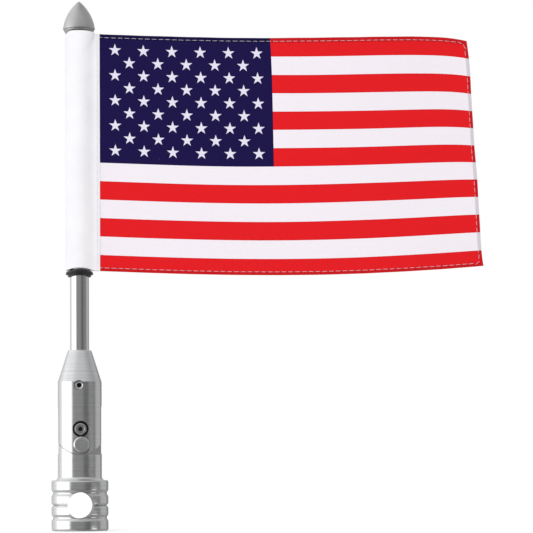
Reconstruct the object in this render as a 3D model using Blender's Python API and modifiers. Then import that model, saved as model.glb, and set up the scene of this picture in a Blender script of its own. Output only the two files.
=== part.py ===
"""Flag mount for a luggage rack: a split rail clamp, a folding knuckle with a push lock, a pole and a flag.

Run with: blender --background --python part.py

Lengths are in metres. The origin is the centre of the rail bore, +Y runs along the bore (and away from the
side with the lock button), +Z runs up the pole and +X is the way the flag flies and the pole folds.
"""

import math

import bmesh
import bpy
from mathutils import Matrix, Vector

# ---------------------------------------------------------------- fits
GAP = 0.0003  # clearance between pieces that touch or screw together
REACH = 0.03  # how far a cutter runs past the metal that it cuts

# ---------------------------------------------------------------- rail clamp
RAIL_BORE_RADIUS = 0.0083
CLAMP_SCREW_WALL = 0.0024  # between the bore and a screw hole
CLAMP_SCREW_RADIUS = 0.0020
CLAMP_SCREW_HEAD_RADIUS = 0.0034
CLAMP_SCREW_HEAD_HEIGHT = 0.0040
CLAMP_SCREW_TIP = 0.0110
CLAMP_SCREW_HEX = 0.0030  # across flats
CLAMP_SCREW_SINK = 0.0003  # head below the foot
CLAMP_RIM_WALL = 0.0011  # outside the screw heads
CLAMP_ROOF = 0.0073  # metal above the bore
CLAMP_FLOOR = 0.0076  # metal below the bore
CLAMP_EDGE = 0.0012  # size of the worn-round edge at the foot and at the top
SPLIT_GAP = 0.0006
SPLIT_CHAMFER = 0.0011
GROOVE_HEIGHT = 0.00765  # of the two decorative grooves, above and below the split
GROOVE_HALF_WIDTH = 0.0015
GROOVE_DEPTH = 0.0009

CLAMP_SCREW_OFFSET = RAIL_BORE_RADIUS + CLAMP_SCREW_WALL + GAP + CLAMP_SCREW_RADIUS
CLAMP_RADIUS = CLAMP_SCREW_OFFSET + CLAMP_SCREW_HEAD_RADIUS + GAP + CLAMP_RIM_WALL
CLAMP_TOP = RAIL_BORE_RADIUS + CLAMP_ROOF
CLAMP_FOOT = -RAIL_BORE_RADIUS - CLAMP_FLOOR

# ---------------------------------------------------------------- barrel
BARREL_RADIUS = 0.01375
BARREL_FILLET = 0.0023
FILLET_SHARE = 0.85  # the most of the clamp's flat top that the fillet may take
PIVOT_HEIGHT = 0.0476
FOLD_DEG = 90  # how far the pole folds towards +X

# ---------------------------------------------------------------- pivot
PIVOT_SCREW_RADIUS = 0.0024
PIVOT_HEAD_RADIUS = 0.00395
PIVOT_HEAD_HEIGHT = 0.0047
PIVOT_HEAD_SINK = 0.00115  # head below the barrel's front
PIVOT_RECESS_CLEARANCE = 0.00105
PIVOT_TIP_SINK = 0.00155  # tip below the barrel's back
PIVOT_HEX = 0.0040
BUSHING_WALL = 0.0012

# ---------------------------------------------------------------- push lock
BUTTON_RADIUS = 0.00515
BUTTON_TO_PIVOT = 0.0007  # between the button and the pivot screw's head
BUTTON_RIM = 0.00055  # thinnest metal of the ear below the button
BUTTON_PROUD = 0.00085
BUTTON_CHAMFER = 0.00085
BUTTON_BACK_ROOM = 0.0010  # between the pressed button and the tongue
LOCK_LEAN_DEG = 3.3  # the lock's axis is this far round from straight below the pivot
NECK_RADIUS = 0.0019
NECK_THREAD = 0.0030  # how deep the neck screws into the button
COLLAR_RADIUS = 0.0032
COLLAR_BITE = 0.0027  # how far the collar reaches into the tongue
COLLAR_BACK_ROOM = 0.0017  # between the pressed collar and the plug
COLLAR_WINDOW = 0.0060  # how far down the tongue's side the collar's track is open
SPRING_POCKET_RADIUS = 0.0026
SPRING_POCKET_DEPTH = 0.0030
SPRING_WIRE_RADIUS = 0.00025
SPRING_TURNS = 5
PLUG_THICKNESS = 0.0019
PLUG_SINK = 0.00065
PLUG_SLOT = 0.0009

LOCK_OFFSET = PIVOT_HEAD_RADIUS + BUTTON_TO_PIVOT + BUTTON_RADIUS  # from the pivot
LOCK_SIDE = LOCK_OFFSET * math.sin(math.radians(LOCK_LEAN_DEG))
LOCK_DROP = LOCK_OFFSET * math.cos(math.radians(LOCK_LEAN_DEG))
LOCK_TRAVEL = COLLAR_BITE + 2 * GAP
EAR_RADIUS = LOCK_OFFSET + BUTTON_RADIUS + GAP + BUTTON_RIM  # round lower end of each ear
EAR_SEAT = EAR_RADIUS + GAP

# ---------------------------------------------------------------- tongue and fork
TONGUE_THICKNESS = 0.00635
TONGUE_SIDE_CUT = 0.00055  # the tongue's sides and round top lie this far inside the barrel
SLOT_CLEARANCE = 0.0010  # above the tongue, for the corner that swings past
FORK_WEB = 0.0039  # metal between the fork and the pole's socket
TONGUE_RADIUS = BARREL_RADIUS - TONGUE_SIDE_CUT
SLOT_TOP = PIVOT_HEIGHT + TONGUE_RADIUS + SLOT_CLEARANCE

# ---------------------------------------------------------------- pole and its socket
POLE_RADIUS = 0.00595
POLE_EDGE = 0.0003
SET_SCREW_RISE = 0.0089  # above the socket's floor
SET_SCREW_TURN_DEG = -4.4  # its hole is drilled this far round from the front
SET_SCREW_RADIUS = 0.0029
SET_SCREW_SINK = 0.00115
SET_SCREW_HEX = 0.0032
SET_SCREW_HEX_DEPTH = 0.0025
CONE_RISE = 0.0022  # above the set screw's centre
CONE_LENGTH = 0.0201
CONE_TOP_WALL = 0.00105
CONE_EDGE = 0.0008
BARE_POLE = 0.0508  # between the cone and the flag

POLE_FOOT = SLOT_TOP + FORK_WEB + GAP
SET_SCREW_HEIGHT = POLE_FOOT + SET_SCREW_RISE
CONE_START = SET_SCREW_HEIGHT + CONE_RISE
CONE_TOP = CONE_START + CONE_LENGTH
CONE_TOP_RADIUS = POLE_RADIUS + GAP + CONE_TOP_WALL

# ---------------------------------------------------------------- flag
FLAG_HOIST = 0.1496  # its height at the sleeve
FLAG_LENGTH = 0.2370
PANEL_THICKNESS = 0.0010
HEAD_SAG = 0.0025  # the head edge dips between its ends
HEAD_DROP = 0.0042  # and turns down at the fly
FOOT_SAG = 0.0034
FOOT_RISE = 0.0040
FLY_SLANT = 0.0024  # the fly edge leans out at the foot
FLY_CURL = 0.0024  # and its corners lean more
RIPPLE = 0.0028
FLY_BILLOW = 0.0060
PANEL_COLUMNS = 24
PANEL_ROWS = 10

FLAG_FOOT = CONE_TOP + BARE_POLE
FLAG_HEAD = FLAG_FOOT + FLAG_HOIST

SLEEVE_EASE = 0.00095  # between the pole and the cloth
SLEEVE_WALL = 0.0008
SLEEVE_SHIFT = -0.0010  # the sleeve hangs off the pole on the side away from the flag
SEAM_REACH = 0.0056  # of the seam past the sleeve's round side
SEAM_OVERLAP = 0.0032  # length of cloth sewn together at the seam
SEAM_THICKNESS = 0.0010
SLEEVE_RADIUS = POLE_RADIUS + SLEEVE_EASE + SLEEVE_WALL
SEAM_X = SLEEVE_RADIUS + SEAM_REACH

# ---------------------------------------------------------------- stop ring
RING_THICKNESS = 0.00235
RING_LIP_THICKNESS = 0.00115
RING_BEAD_HEIGHT = 0.0026
RING_LIP_HEIGHT = 0.0014
RING_POINTS = 8

# ---------------------------------------------------------------- finial
FINIAL_LAP = 0.0036  # how far the sleeve's head reaches past the pole's top
FINIAL_NECK = 0.0063  # from the finial's foot up to its widest edge
FINIAL_RADIUS = 0.0101
FINIAL_HEIGHT = 0.0175  # above the widest edge
FINIAL_TIP_RADIUS = 0.0006
FINIAL_CENTRE_DROP = 0.0038  # the flank's arc is centred this far under the widest edge
FINIAL_ROWS = 8
STUD_RADIUS = 0.0024
STUD_LENGTH = 0.0220
STUD_IN_POLE = 0.0105

POLE_TOP = FLAG_HEAD - FINIAL_LAP
FINIAL_FOOT = POLE_TOP + GAP
FINIAL_SHOULDER = FINIAL_FOOT + FINIAL_NECK

# ---------------------------------------------------------------- mesh fineness
STEPS = 48
SMALL_STEPS = 24
ARC_STEP_DEG = 7.5
ROUND_END_POINTS = 10

FACING_FRONT = Matrix.Rotation(math.radians(90), 4, "X")  # local +Z turns to -Y
SET_SCREW_FACING = Matrix.Rotation(math.radians(SET_SCREW_TURN_DEG), 4, "Z") @ FACING_FRONT
FACING_DOWN = Matrix.Rotation(math.radians(180), 4, "X")

METAL = {
    "brushed": ("brushed_aluminium", (0.72, 0.73, 0.74), 0.32),
    "polished": ("polished_steel", (0.80, 0.80, 0.81), 0.12),
    "steel": ("screw_steel", (0.42, 0.42, 0.43), 0.35),
    "bronze": ("bushing_bronze", (0.60, 0.42, 0.20), 0.40),
}


def clear_scene():
    """Empties the file that the script runs in."""
    for obj in list(bpy.data.objects):
        bpy.data.objects.remove(obj)


def collection(name, hidden=False):
    """Makes a collection in the scene."""
    made = bpy.data.collections.new(name)
    bpy.context.scene.collection.children.link(made)
    made.hide_render = hidden
    return made


def material(name, colour, roughness, metallic=0.0):
    """A Principled material."""
    made = bpy.data.materials.new(name)
    made.use_nodes = True
    shader = made.node_tree.nodes["Principled BSDF"]
    shader.inputs["Base Color"].default_value = (*colour, 1.0)
    shader.inputs["Roughness"].default_value = roughness
    shader.inputs["Metallic"].default_value = metallic
    return made


# ================================================================ shapes


def place(obj, where, at=(0, 0, 0), turn=None):
    """Links obj to a collection at a place and a turn."""
    obj.matrix_world = Matrix.Translation(Vector(at)) @ (turn or Matrix())
    where.objects.link(obj)
    return obj


def turned(name, where, profile, at=(0, 0, 0), turn=None, steps=STEPS, ring=False):
    """A turned piece. profile is (radius, height) pairs down its outer side, and ring closes the loop."""
    mesh = bpy.data.meshes.new(name)
    edges = [(i, i + 1) for i in range(len(profile) - 1)]
    if ring:
        edges.append((len(profile) - 1, 0))
    mesh.from_pydata([(r, 0, h) for r, h in profile], edges, [])
    obj = place(bpy.data.objects.new(name, mesh), where, at, turn)
    screw = obj.modifiers.new("turn", "SCREW")
    screw.steps = screw.render_steps = steps
    screw.use_merge_vertices = True
    screw.merge_threshold = 0.00001
    screw.use_smooth_shade = False
    return obj


def rod(name, where, radius, low, high, at=(0, 0, 0), turn=None, sides=SMALL_STEPS):
    """A straight round bar from low to high along its own Z."""
    mesh = bpy.data.meshes.new(name)
    made = bmesh.new()
    bmesh.ops.create_cone(
        made, cap_ends=True, segments=sides, radius1=radius, radius2=radius, depth=high - low,
        matrix=Matrix.Translation((0, 0, (low + high) / 2)),
    )
    made.to_mesh(mesh)
    made.free()
    return place(bpy.data.objects.new(name, mesh), where, at, turn)


def hex_bar(name, where, across_flats, low, high, at, turn):
    """A six-sided bar, which cuts a hex socket."""
    return rod(name, where, across_flats / math.sqrt(3), low, high, at, turn, sides=6)


def block(name, where, low, high):
    """A box between two corners."""
    mesh = bpy.data.meshes.new(name)
    made = bmesh.new()
    bmesh.ops.create_cube(made, size=1.0)
    size = [b - a for a, b in zip(low, high)]
    middle = [(a + b) / 2 for a, b in zip(low, high)]
    bmesh.ops.transform(
        made, verts=made.verts, matrix=Matrix.Translation(middle) @ Matrix.Diagonal((*size, 1.0))
    )
    made.to_mesh(mesh)
    made.free()
    return place(bpy.data.objects.new(name, mesh), where)


def plate(name, where, outlines, thickness, at=(0, 0, 0), turn=None):
    """A flat outline with holes, as a curve made a closed mesh, centred on its own XY plane."""
    curve = bpy.data.curves.new(name, "CURVE")
    curve.dimensions = "2D"
    curve.fill_mode = "BOTH"
    curve.extrude = thickness / 2
    for points in outlines:
        spline = curve.splines.new("POLY")
        spline.points.add(len(points) - 1)
        for point, (x, y) in zip(spline.points, points):
            point.co = (x, y, 0, 1)
        spline.use_cyclic_u = True
    drawn = place(bpy.data.objects.new(name, curve), where)
    bpy.context.view_layer.update()
    graph = bpy.context.evaluated_depsgraph_get()
    mesh = bpy.data.meshes.new_from_object(drawn.evaluated_get(graph))
    bpy.data.objects.remove(drawn)
    made = bmesh.new()
    made.from_mesh(mesh)
    bmesh.ops.remove_doubles(made, verts=made.verts, dist=0.000001)
    bmesh.ops.recalc_face_normals(made, faces=made.faces)
    made.to_mesh(mesh)
    made.free()
    mesh.name = name
    return place(bpy.data.objects.new(name, mesh), where, at, turn)


def upright_plate(name, where, outline, near, far):
    """A plate drawn in XZ about the pivot, from Y near to Y far."""
    at = (0, (near + far) / 2, PIVOT_HEIGHT)
    return plate(name, where, [outline], far - near, at, FACING_FRONT)


def arc(radius, start_deg, end_deg, centre=(0.0, 0.0), count=None):
    """Points along an arc, both ends included."""
    count = count or max(2, round(abs(end_deg - start_deg) / ARC_STEP_DEG))
    angles = [math.radians(start_deg + (end_deg - start_deg) * i / count) for i in range(count + 1)]
    return [(centre[0] + radius * math.cos(a), centre[1] + radius * math.sin(a)) for a in angles]


def track(half_width):
    """The arc-shaped slot with round ends, about the pivot, that the lock passes along as the pole folds."""
    start = LOCK_LEAN_DEG - 90
    end = start - FOLD_DEG
    first, *_, last = arc(LOCK_OFFSET, start, end)
    return (
        arc(LOCK_OFFSET + half_width, start, end)
        + arc(half_width, end, end - 180, last, ROUND_END_POINTS)[1:-1]
        + arc(LOCK_OFFSET - half_width, end, start)
        + arc(half_width, start + 180, start, first, ROUND_END_POINTS)[1:-1]
    )


def cut(obj, *cutters):
    """Takes the cutters out of obj."""
    for cutter in cutters:
        boolean = obj.modifiers.new(cutter.name, "BOOLEAN")
        boolean.operation = "DIFFERENCE"
        boolean.solver = "EXACT"
        boolean.object = cutter
        cutter.hide_render = True
        cutter.display_type = "WIRE"
    return obj


def dress(obj, finish, smooth_deg=35):
    """Gives obj its material, and shades its round faces smooth."""
    obj.data.materials.append(finish)
    if obj.type == "MESH" and obj.data.polygons:
        obj.data.shade_smooth()
        obj.data.set_sharp_from_angle(angle=math.radians(smooth_deg))
    return obj


def hang(parent, *children):
    """Parents children to an empty that has no turn, and leaves them where they are."""
    for child in children:
        child.parent = parent
        child.matrix_parent_inverse = Matrix.Translation(-Vector(parent.location))


def pivot_empty(name, where, at):
    """An empty on a joint's axis."""
    empty = bpy.data.objects.new(name, None)
    empty.location = at
    where.objects.link(empty)
    return empty


# ================================================================ rail clamp and lower barrel


def groove(height, going_down=True):
    """Profile points of one decorative groove."""
    points = [
        (CLAMP_RADIUS, height + GROOVE_HALF_WIDTH),
        (CLAMP_RADIUS - GROOVE_DEPTH, height + GROOVE_HALF_WIDTH / 3),
        (CLAMP_RADIUS - GROOVE_DEPTH, height - GROOVE_HALF_WIDTH / 3),
        (CLAMP_RADIUS, height - GROOVE_HALF_WIDTH),
    ]
    return points if going_down else points[::-1]


def barrel_fillet():
    """The concave sweep from the barrel out to the top of the clamp."""
    fillet = min(BARREL_FILLET, FILLET_SHARE * (CLAMP_RADIUS - CLAMP_EDGE - BARREL_RADIUS))
    return arc(fillet, 180, 255, (BARREL_RADIUS + fillet, CLAMP_TOP + fillet), count=4)


def tongue_surround():
    """What is cut away round the tongue: the outline leaves its flat sides and round top."""
    foot = -EAR_SEAT + 2 * GAP
    far = TONGUE_RADIUS + REACH
    sides = [(TONGUE_RADIUS, foot), (far, foot), (far, far), (-far, far), (-far, foot), (-TONGUE_RADIUS, foot)]
    return sides + arc(TONGUE_RADIUS, 180, 0)


def ear_relief():
    """What is cut away beside the tongue for an ear: a round seat on -X, and a flat shoulder on +X."""
    far = EAR_SEAT + REACH
    seat_end = -180 + math.degrees(math.asin(GAP / EAR_SEAT))
    return arc(EAR_SEAT, -90, seat_end) + [(-far, -GAP), (-far, far), (far, far), (far, -EAR_SEAT)]


def make_lower_barrel(where, tools, finish):
    """The fixed half of the knuckle, in one piece with the upper half of the clamp."""
    half_tongue = TONGUE_THICKNESS / 2
    top = PIVOT_HEIGHT + TONGUE_RADIUS + GAP
    edge = CLAMP_RADIUS - CLAMP_EDGE
    profile = [(0, top), (BARREL_RADIUS, top)]
    profile += barrel_fillet()
    profile += arc(CLAMP_EDGE, 80, 0, (edge, CLAMP_TOP - CLAMP_EDGE), count=2)
    profile += groove(GROOVE_HEIGHT)
    profile += [
        (CLAMP_RADIUS, SPLIT_GAP / 2 + SPLIT_CHAMFER),
        (CLAMP_RADIUS - SPLIT_CHAMFER, SPLIT_GAP / 2),
        (0, SPLIT_GAP / 2),
    ]
    body = turned("lower_barrel", where, profile)
    bushing_hole = PIVOT_SCREW_RADIUS + GAP + BUSHING_WALL + GAP
    collar_track = COLLAR_RADIUS + GAP
    recess_floor = half_tongue - COLLAR_BITE - GAP
    far = CLAMP_RADIUS + REACH
    cut(body, rod("rail_room_above", tools, RAIL_BORE_RADIUS, -REACH, REACH, turn=FACING_FRONT, sides=STEPS))
    for side, name in ((-1, "left"), (1, "right")):
        cut(body, rod(f"tapped_hole_{name}", tools, CLAMP_SCREW_RADIUS + GAP, -REACH,
                      CLAMP_SCREW_TIP + GAP, (side * CLAMP_SCREW_OFFSET, 0, 0)))
    cut(
        body,
        upright_plate("front_ear_room", tools, ear_relief(), -far, -half_tongue),
        upright_plate("rear_ear_room", tools, ear_relief(), half_tongue, far),
        upright_plate("tongue_surround", tools, tongue_surround(), -far, far),
        rod("bushing_hole", tools, bushing_hole, -REACH, REACH, (0, 0, PIVOT_HEIGHT), FACING_FRONT),
        upright_plate("neck_track", tools, track(NECK_RADIUS + GAP), -far, far),
        upright_plate("collar_track", tools, track(collar_track), recess_floor, far),
        block("collar_window", tools, (-far, recess_floor, PIVOT_HEIGHT - COLLAR_WINDOW),
              (-LOCK_OFFSET, far, PIVOT_HEIGHT + collar_track)),
    )
    return dress(body, finish)


def make_clamp_cap(where, tools, finish):
    """The lower half of the clamp, which two screws pull up round the rail."""
    edge = CLAMP_RADIUS - CLAMP_EDGE
    profile = [
        (0, -SPLIT_GAP / 2),
        (CLAMP_RADIUS - SPLIT_CHAMFER, -SPLIT_GAP / 2),
        (CLAMP_RADIUS, -SPLIT_GAP / 2 - SPLIT_CHAMFER),
    ]
    profile += groove(-GROOVE_HEIGHT)
    profile += [(CLAMP_RADIUS, CLAMP_FOOT + CLAMP_EDGE), (edge, CLAMP_FOOT), (0, CLAMP_FOOT)]
    body = turned("clamp_cap", where, profile)
    cut(body, rod("rail_room_below", tools, RAIL_BORE_RADIUS, -REACH, REACH, turn=FACING_FRONT, sides=STEPS))
    head_seat = CLAMP_FOOT + CLAMP_SCREW_SINK + CLAMP_SCREW_HEAD_HEIGHT + GAP
    for side, name in ((-1, "left"), (1, "right")):
        at = (side * CLAMP_SCREW_OFFSET, 0, 0)
        cut(
            body,
            rod(f"screw_hole_{name}", tools, CLAMP_SCREW_RADIUS + GAP, -REACH, REACH, at),
            rod(f"head_hole_{name}", tools, CLAMP_SCREW_HEAD_RADIUS + GAP, CLAMP_FOOT - REACH, head_seat, at),
        )
    return dress(body, finish)


def make_clamp_screw(name, side, where, tools, finish):
    """One of the two socket-head screws that close the clamp, head down."""
    face = -CLAMP_FOOT - CLAMP_SCREW_SINK
    neck = face - CLAMP_SCREW_HEAD_HEIGHT
    at = (side * CLAMP_SCREW_OFFSET, 0, 0)
    profile = [
        (0, face), (CLAMP_SCREW_HEAD_RADIUS - GAP, face), (CLAMP_SCREW_HEAD_RADIUS, face - GAP),
        (CLAMP_SCREW_HEAD_RADIUS, neck), (CLAMP_SCREW_RADIUS, neck),
        (CLAMP_SCREW_RADIUS, -CLAMP_SCREW_TIP + GAP), (CLAMP_SCREW_RADIUS - GAP, -CLAMP_SCREW_TIP),
        (0, -CLAMP_SCREW_TIP),
    ]
    screw = turned(name, where, profile, at, FACING_DOWN, SMALL_STEPS)
    socket = hex_bar(f"{name}_socket", tools, CLAMP_SCREW_HEX, face - CLAMP_SCREW_HEAD_HEIGHT / 2,
                     face + REACH, at, FACING_DOWN)
    return dress(cut(screw, socket), finish)


# ================================================================ folding barrel


def ear_rounding():
    """What is cut away under the ears, to leave their round ends."""
    far = EAR_RADIUS + REACH
    return [(-far, 0)] + arc(EAR_RADIUS, -180, 0) + [(far, 0), (far, -far), (-far, -far)]


def make_upper_barrel(where, tools, finish):
    """The folding half: two ears, a barrel, and a cone with the pole's socket."""
    half_slot = TONGUE_THICKNESS / 2 + GAP
    lock = lock_axis()
    foot = PIVOT_HEIGHT - EAR_SEAT
    profile = [
        (0, CONE_TOP), (CONE_TOP_RADIUS - CONE_EDGE / 2, CONE_TOP), (CONE_TOP_RADIUS, CONE_TOP - CONE_EDGE),
        (BARREL_RADIUS, CONE_START), (BARREL_RADIUS, foot), (0, foot),
    ]
    body = turned("upper_barrel", where, profile)
    far = BARREL_RADIUS + REACH
    head_seat = pivot_head_face() - PIVOT_HEAD_HEIGHT - GAP
    hole = PIVOT_SCREW_RADIUS + GAP
    recess = PIVOT_HEAD_RADIUS + PIVOT_RECESS_CLEARANCE
    screw_room = [(0, far), (recess, far), (recess, head_seat), (hole, head_seat), (hole, -far), (0, -far)]
    cut(
        body,
        upright_plate("ear_rounding", tools, ear_rounding(), -far, far),
        turned("pivot_screw_room", tools, screw_room, (0, 0, PIVOT_HEIGHT), FACING_FRONT),
        rod("button_hole", tools, BUTTON_RADIUS + GAP, 0, far, lock, FACING_FRONT, STEPS),
        rod("collar_bore", tools, COLLAR_RADIUS + GAP, -far, 0, lock, FACING_FRONT),
        rod("pole_socket", tools, POLE_RADIUS + GAP, POLE_FOOT - GAP, CONE_TOP + REACH, sides=STEPS),
        rod("set_screw_hole", tools, SET_SCREW_RADIUS + GAP, POLE_RADIUS / 2, far,
            (0, 0, SET_SCREW_HEIGHT), SET_SCREW_FACING),
        block("tongue_slot", tools, (-far, -half_slot, foot - REACH), (far, half_slot, SLOT_TOP)),
    )
    return dress(body, finish)


def pivot_head_face():
    """How far the pivot screw's head reaches in front of the barrel's axis."""
    return BARREL_RADIUS - PIVOT_HEAD_SINK


def make_pivot_screw(where, tools, finish):
    """The socket-head screw that the knuckle turns on. It screws into the rear ear."""
    at = (0, 0, PIVOT_HEIGHT)
    face = pivot_head_face()
    neck = face - PIVOT_HEAD_HEIGHT
    tip = PIVOT_TIP_SINK - BARREL_RADIUS
    profile = [
        (0, face), (PIVOT_HEAD_RADIUS - 2 * GAP, face), (PIVOT_HEAD_RADIUS, face - 2 * GAP),
        (PIVOT_HEAD_RADIUS, neck), (PIVOT_SCREW_RADIUS, neck), (PIVOT_SCREW_RADIUS, tip + GAP),
        (PIVOT_SCREW_RADIUS - GAP, tip), (0, tip),
    ]
    screw = turned("pivot_screw", where, profile, at, FACING_FRONT, SMALL_STEPS)
    socket = hex_bar("pivot_socket", tools, PIVOT_HEX, face - PIVOT_HEAD_HEIGHT / 2, face + REACH, at,
                     FACING_FRONT)
    return dress(cut(screw, socket), finish)


def make_pivot_bushing(where, finish):
    """The plain bush between the pivot screw and the tongue."""
    inner = PIVOT_SCREW_RADIUS + GAP
    outer = inner + BUSHING_WALL
    half = TONGUE_THICKNESS / 2
    loop = [(outer, half), (outer, -half), (inner, -half), (inner, half)]
    bush = turned("pivot_bushing", where, loop, (0, 0, PIVOT_HEIGHT), FACING_FRONT, SMALL_STEPS, ring=True)
    return dress(bush, finish)


def make_set_screw(where, tools, finish):
    """The headless screw that grips the pole."""
    at = (0, 0, SET_SCREW_HEIGHT)
    face = BARREL_RADIUS - SET_SCREW_SINK
    tip = POLE_RADIUS + GAP
    profile = [
        (0, face), (SET_SCREW_RADIUS - GAP, face), (SET_SCREW_RADIUS, face - GAP),
        (SET_SCREW_RADIUS, tip + 2 * GAP), (SET_SCREW_RADIUS - 2 * GAP, tip), (0, tip),
    ]
    screw = turned("pole_set_screw", where, profile, at, SET_SCREW_FACING, SMALL_STEPS)
    socket = hex_bar("set_screw_socket", tools, SET_SCREW_HEX, face - SET_SCREW_HEX_DEPTH, face + REACH, at,
                     SET_SCREW_FACING)
    return dress(cut(screw, socket), finish)


# ================================================================ push lock


def lock_axis():
    """A point on the lock's axis, which runs along Y."""
    return (LOCK_SIDE, 0, PIVOT_HEIGHT - LOCK_DROP)


def button_back():
    """How far in front of the barrel's axis the button's inner end lies at rest."""
    return TONGUE_THICKNESS / 2 + BUTTON_BACK_ROOM + LOCK_TRAVEL


def make_lock_button(where, finish):
    """The button that a thumb presses, with a tapped hole for the plunger's neck."""
    face = BARREL_RADIUS + BUTTON_PROUD
    back = button_back()
    hole_end = back + NECK_THREAD + GAP
    profile = [
        (0, face), (BUTTON_RADIUS - BUTTON_CHAMFER, face), (BUTTON_RADIUS, face - BUTTON_CHAMFER),
        (BUTTON_RADIUS, back), (NECK_RADIUS + GAP, back), (NECK_RADIUS + GAP, hole_end), (0, hole_end),
    ]
    return dress(turned("lock_button", where, profile, lock_axis(), FACING_FRONT, 32), finish)


def plug_inside():
    """How far behind the barrel's axis the spring plug starts."""
    return BARREL_RADIUS - PLUG_SINK - PLUG_THICKNESS


def collar_ends():
    """Where the collar starts and ends behind the barrel's axis. It bites into the tongue's rear face."""
    return TONGUE_THICKNESS / 2 - COLLAR_BITE, plug_inside() - COLLAR_BACK_ROOM - LOCK_TRAVEL


def make_lock_plunger(where, finish):
    """The neck that passes through the tongue, and the collar behind it that locks the knuckle."""
    front, back = (-end for end in collar_ends())
    tip = button_back() + NECK_THREAD
    pocket = back + SPRING_POCKET_DEPTH
    profile = [
        (0, tip), (NECK_RADIUS, tip), (NECK_RADIUS, front), (COLLAR_RADIUS, front), (COLLAR_RADIUS, back),
        (SPRING_POCKET_RADIUS, back), (SPRING_POCKET_RADIUS, pocket), (0, pocket),
    ]
    return dress(turned("lock_plunger", where, profile, lock_axis(), FACING_FRONT, SMALL_STEPS), finish)


def make_lock_spring(where, finish):
    """The coil spring that pushes the plunger and the button to the front."""
    start = collar_ends()[1] - SPRING_POCKET_DEPTH + GAP + SPRING_WIRE_RADIUS
    end = plug_inside() - GAP - SPRING_WIRE_RADIUS
    radius = SPRING_POCKET_RADIUS - GAP - SPRING_WIRE_RADIUS
    points_per_turn = 12
    count = SPRING_TURNS * points_per_turn
    curve = bpy.data.curves.new("lock_spring", "CURVE")
    curve.dimensions = "3D"
    curve.bevel_depth = SPRING_WIRE_RADIUS
    curve.bevel_resolution = 1
    curve.use_fill_caps = True
    spline = curve.splines.new("POLY")
    spline.points.add(count)
    for i, point in enumerate(spline.points):
        angle = 2 * math.pi * i / points_per_turn
        along = start + (end - start) * i / count
        point.co = (radius * math.cos(angle), along, radius * math.sin(angle), 1)
    spring = bpy.data.objects.new("lock_spring", curve)
    place(spring, where, lock_axis())
    curve.materials.append(finish)
    return spring


def make_spring_plug(where, tools, finish):
    """The slotted plug that closes the spring's bore at the back."""
    inside = plug_inside()
    face = inside + PLUG_THICKNESS
    profile = [(0, -inside), (COLLAR_RADIUS, -inside), (COLLAR_RADIUS, -face), (0, -face)]
    plug = turned("spring_plug", where, profile, lock_axis(), FACING_FRONT, SMALL_STEPS)
    height = lock_axis()[2]
    slot = block("plug_slot", tools, (-REACH, face - PLUG_SLOT, height - PLUG_SLOT / 2),
                 (REACH, face + REACH, height + PLUG_SLOT / 2))
    return dress(cut(plug, slot), finish)


# ================================================================ pole, finial and ring


def make_pole(where, finish):
    """The round pole, tapped at the top for the finial's stud."""
    hole = STUD_RADIUS + GAP
    hole_foot = POLE_TOP - STUD_IN_POLE - GAP
    rim = POLE_RADIUS - POLE_EDGE
    profile = [
        (0, hole_foot), (hole, hole_foot), (hole, POLE_TOP), (rim, POLE_TOP),
        (POLE_RADIUS, POLE_TOP - POLE_EDGE), (POLE_RADIUS, POLE_FOOT + POLE_EDGE), (rim, POLE_FOOT),
        (0, POLE_FOOT),
    ]
    return dress(turned("pole", where, profile), finish)


def finial_flank():
    """Points down the finial's flank, an arc from the blunt tip to the widest edge."""
    tip_height = FINIAL_HEIGHT - FINIAL_TIP_RADIUS / 2
    drop = FINIAL_CENTRE_DROP
    # The arc's centre is at height -drop, and equally far from both ends of the flank.
    span = FINIAL_TIP_RADIUS - FINIAL_RADIUS
    centre = (FINIAL_TIP_RADIUS**2 + (tip_height + drop) ** 2 - FINIAL_RADIUS**2 - drop**2) / (2 * span)
    start = math.degrees(math.atan2(tip_height + drop, FINIAL_TIP_RADIUS - centre))
    end = math.degrees(math.atan2(drop, FINIAL_RADIUS - centre))
    return arc(math.hypot(FINIAL_RADIUS - centre, drop), start, end, (centre, -drop), FINIAL_ROWS)


def finial_outside(swell=0.0):
    """The finial's outer profile about its widest edge, from the tip down to the foot."""
    flare = FINIAL_RADIUS - POLE_RADIUS
    under = [(POLE_RADIUS + flare * c, -FINIAL_NECK * s) for c, s in arc(1, 0, 90, count=4)[1:]]
    return [(0, FINIAL_HEIGHT)] + [(radius + swell, height) for radius, height in finial_flank() + under]


def make_finial(where, finish):
    """The pointed finial, with a tapped hole in its foot."""
    hole = STUD_RADIUS + GAP
    hole_top = STUD_LENGTH - STUD_IN_POLE - FINIAL_NECK + GAP
    profile = finial_outside() + [(hole, -FINIAL_NECK), (hole, hole_top), (0, hole_top)]
    return dress(turned("finial", where, profile, (0, 0, FINIAL_SHOULDER)), finish)


def make_finial_stud(where, finish):
    """The threaded stud that joins the finial to the pole."""
    low = POLE_TOP - STUD_IN_POLE
    return dress(rod("finial_stud", where, STUD_RADIUS, low, low + STUD_LENGTH), finish)


def make_stop_ring(where, finish):
    """The rubber ring under the sleeve: a fat bead over a thin lip."""
    inside = POLE_RADIUS + GAP
    lip = inside + RING_LIP_THICKNESS
    top = FLAG_FOOT - GAP
    neck = top - RING_BEAD_HEIGHT
    foot = neck - RING_LIP_HEIGHT
    half = RING_THICKNESS / 2
    bead = [
        (inside + half + half * x, top + RING_BEAD_HEIGHT / 2 * (z - 1))
        for x, z in arc(1, 120, -60, count=RING_POINTS)
    ]
    loop = bead + [(lip, neck), (lip, foot + GAP), (lip - GAP, foot), (inside, foot), (inside, top - GAP)]
    return dress(turned("flag_stop_ring", where, loop, ring=True), finish, 50)


# ================================================================ flag


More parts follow.
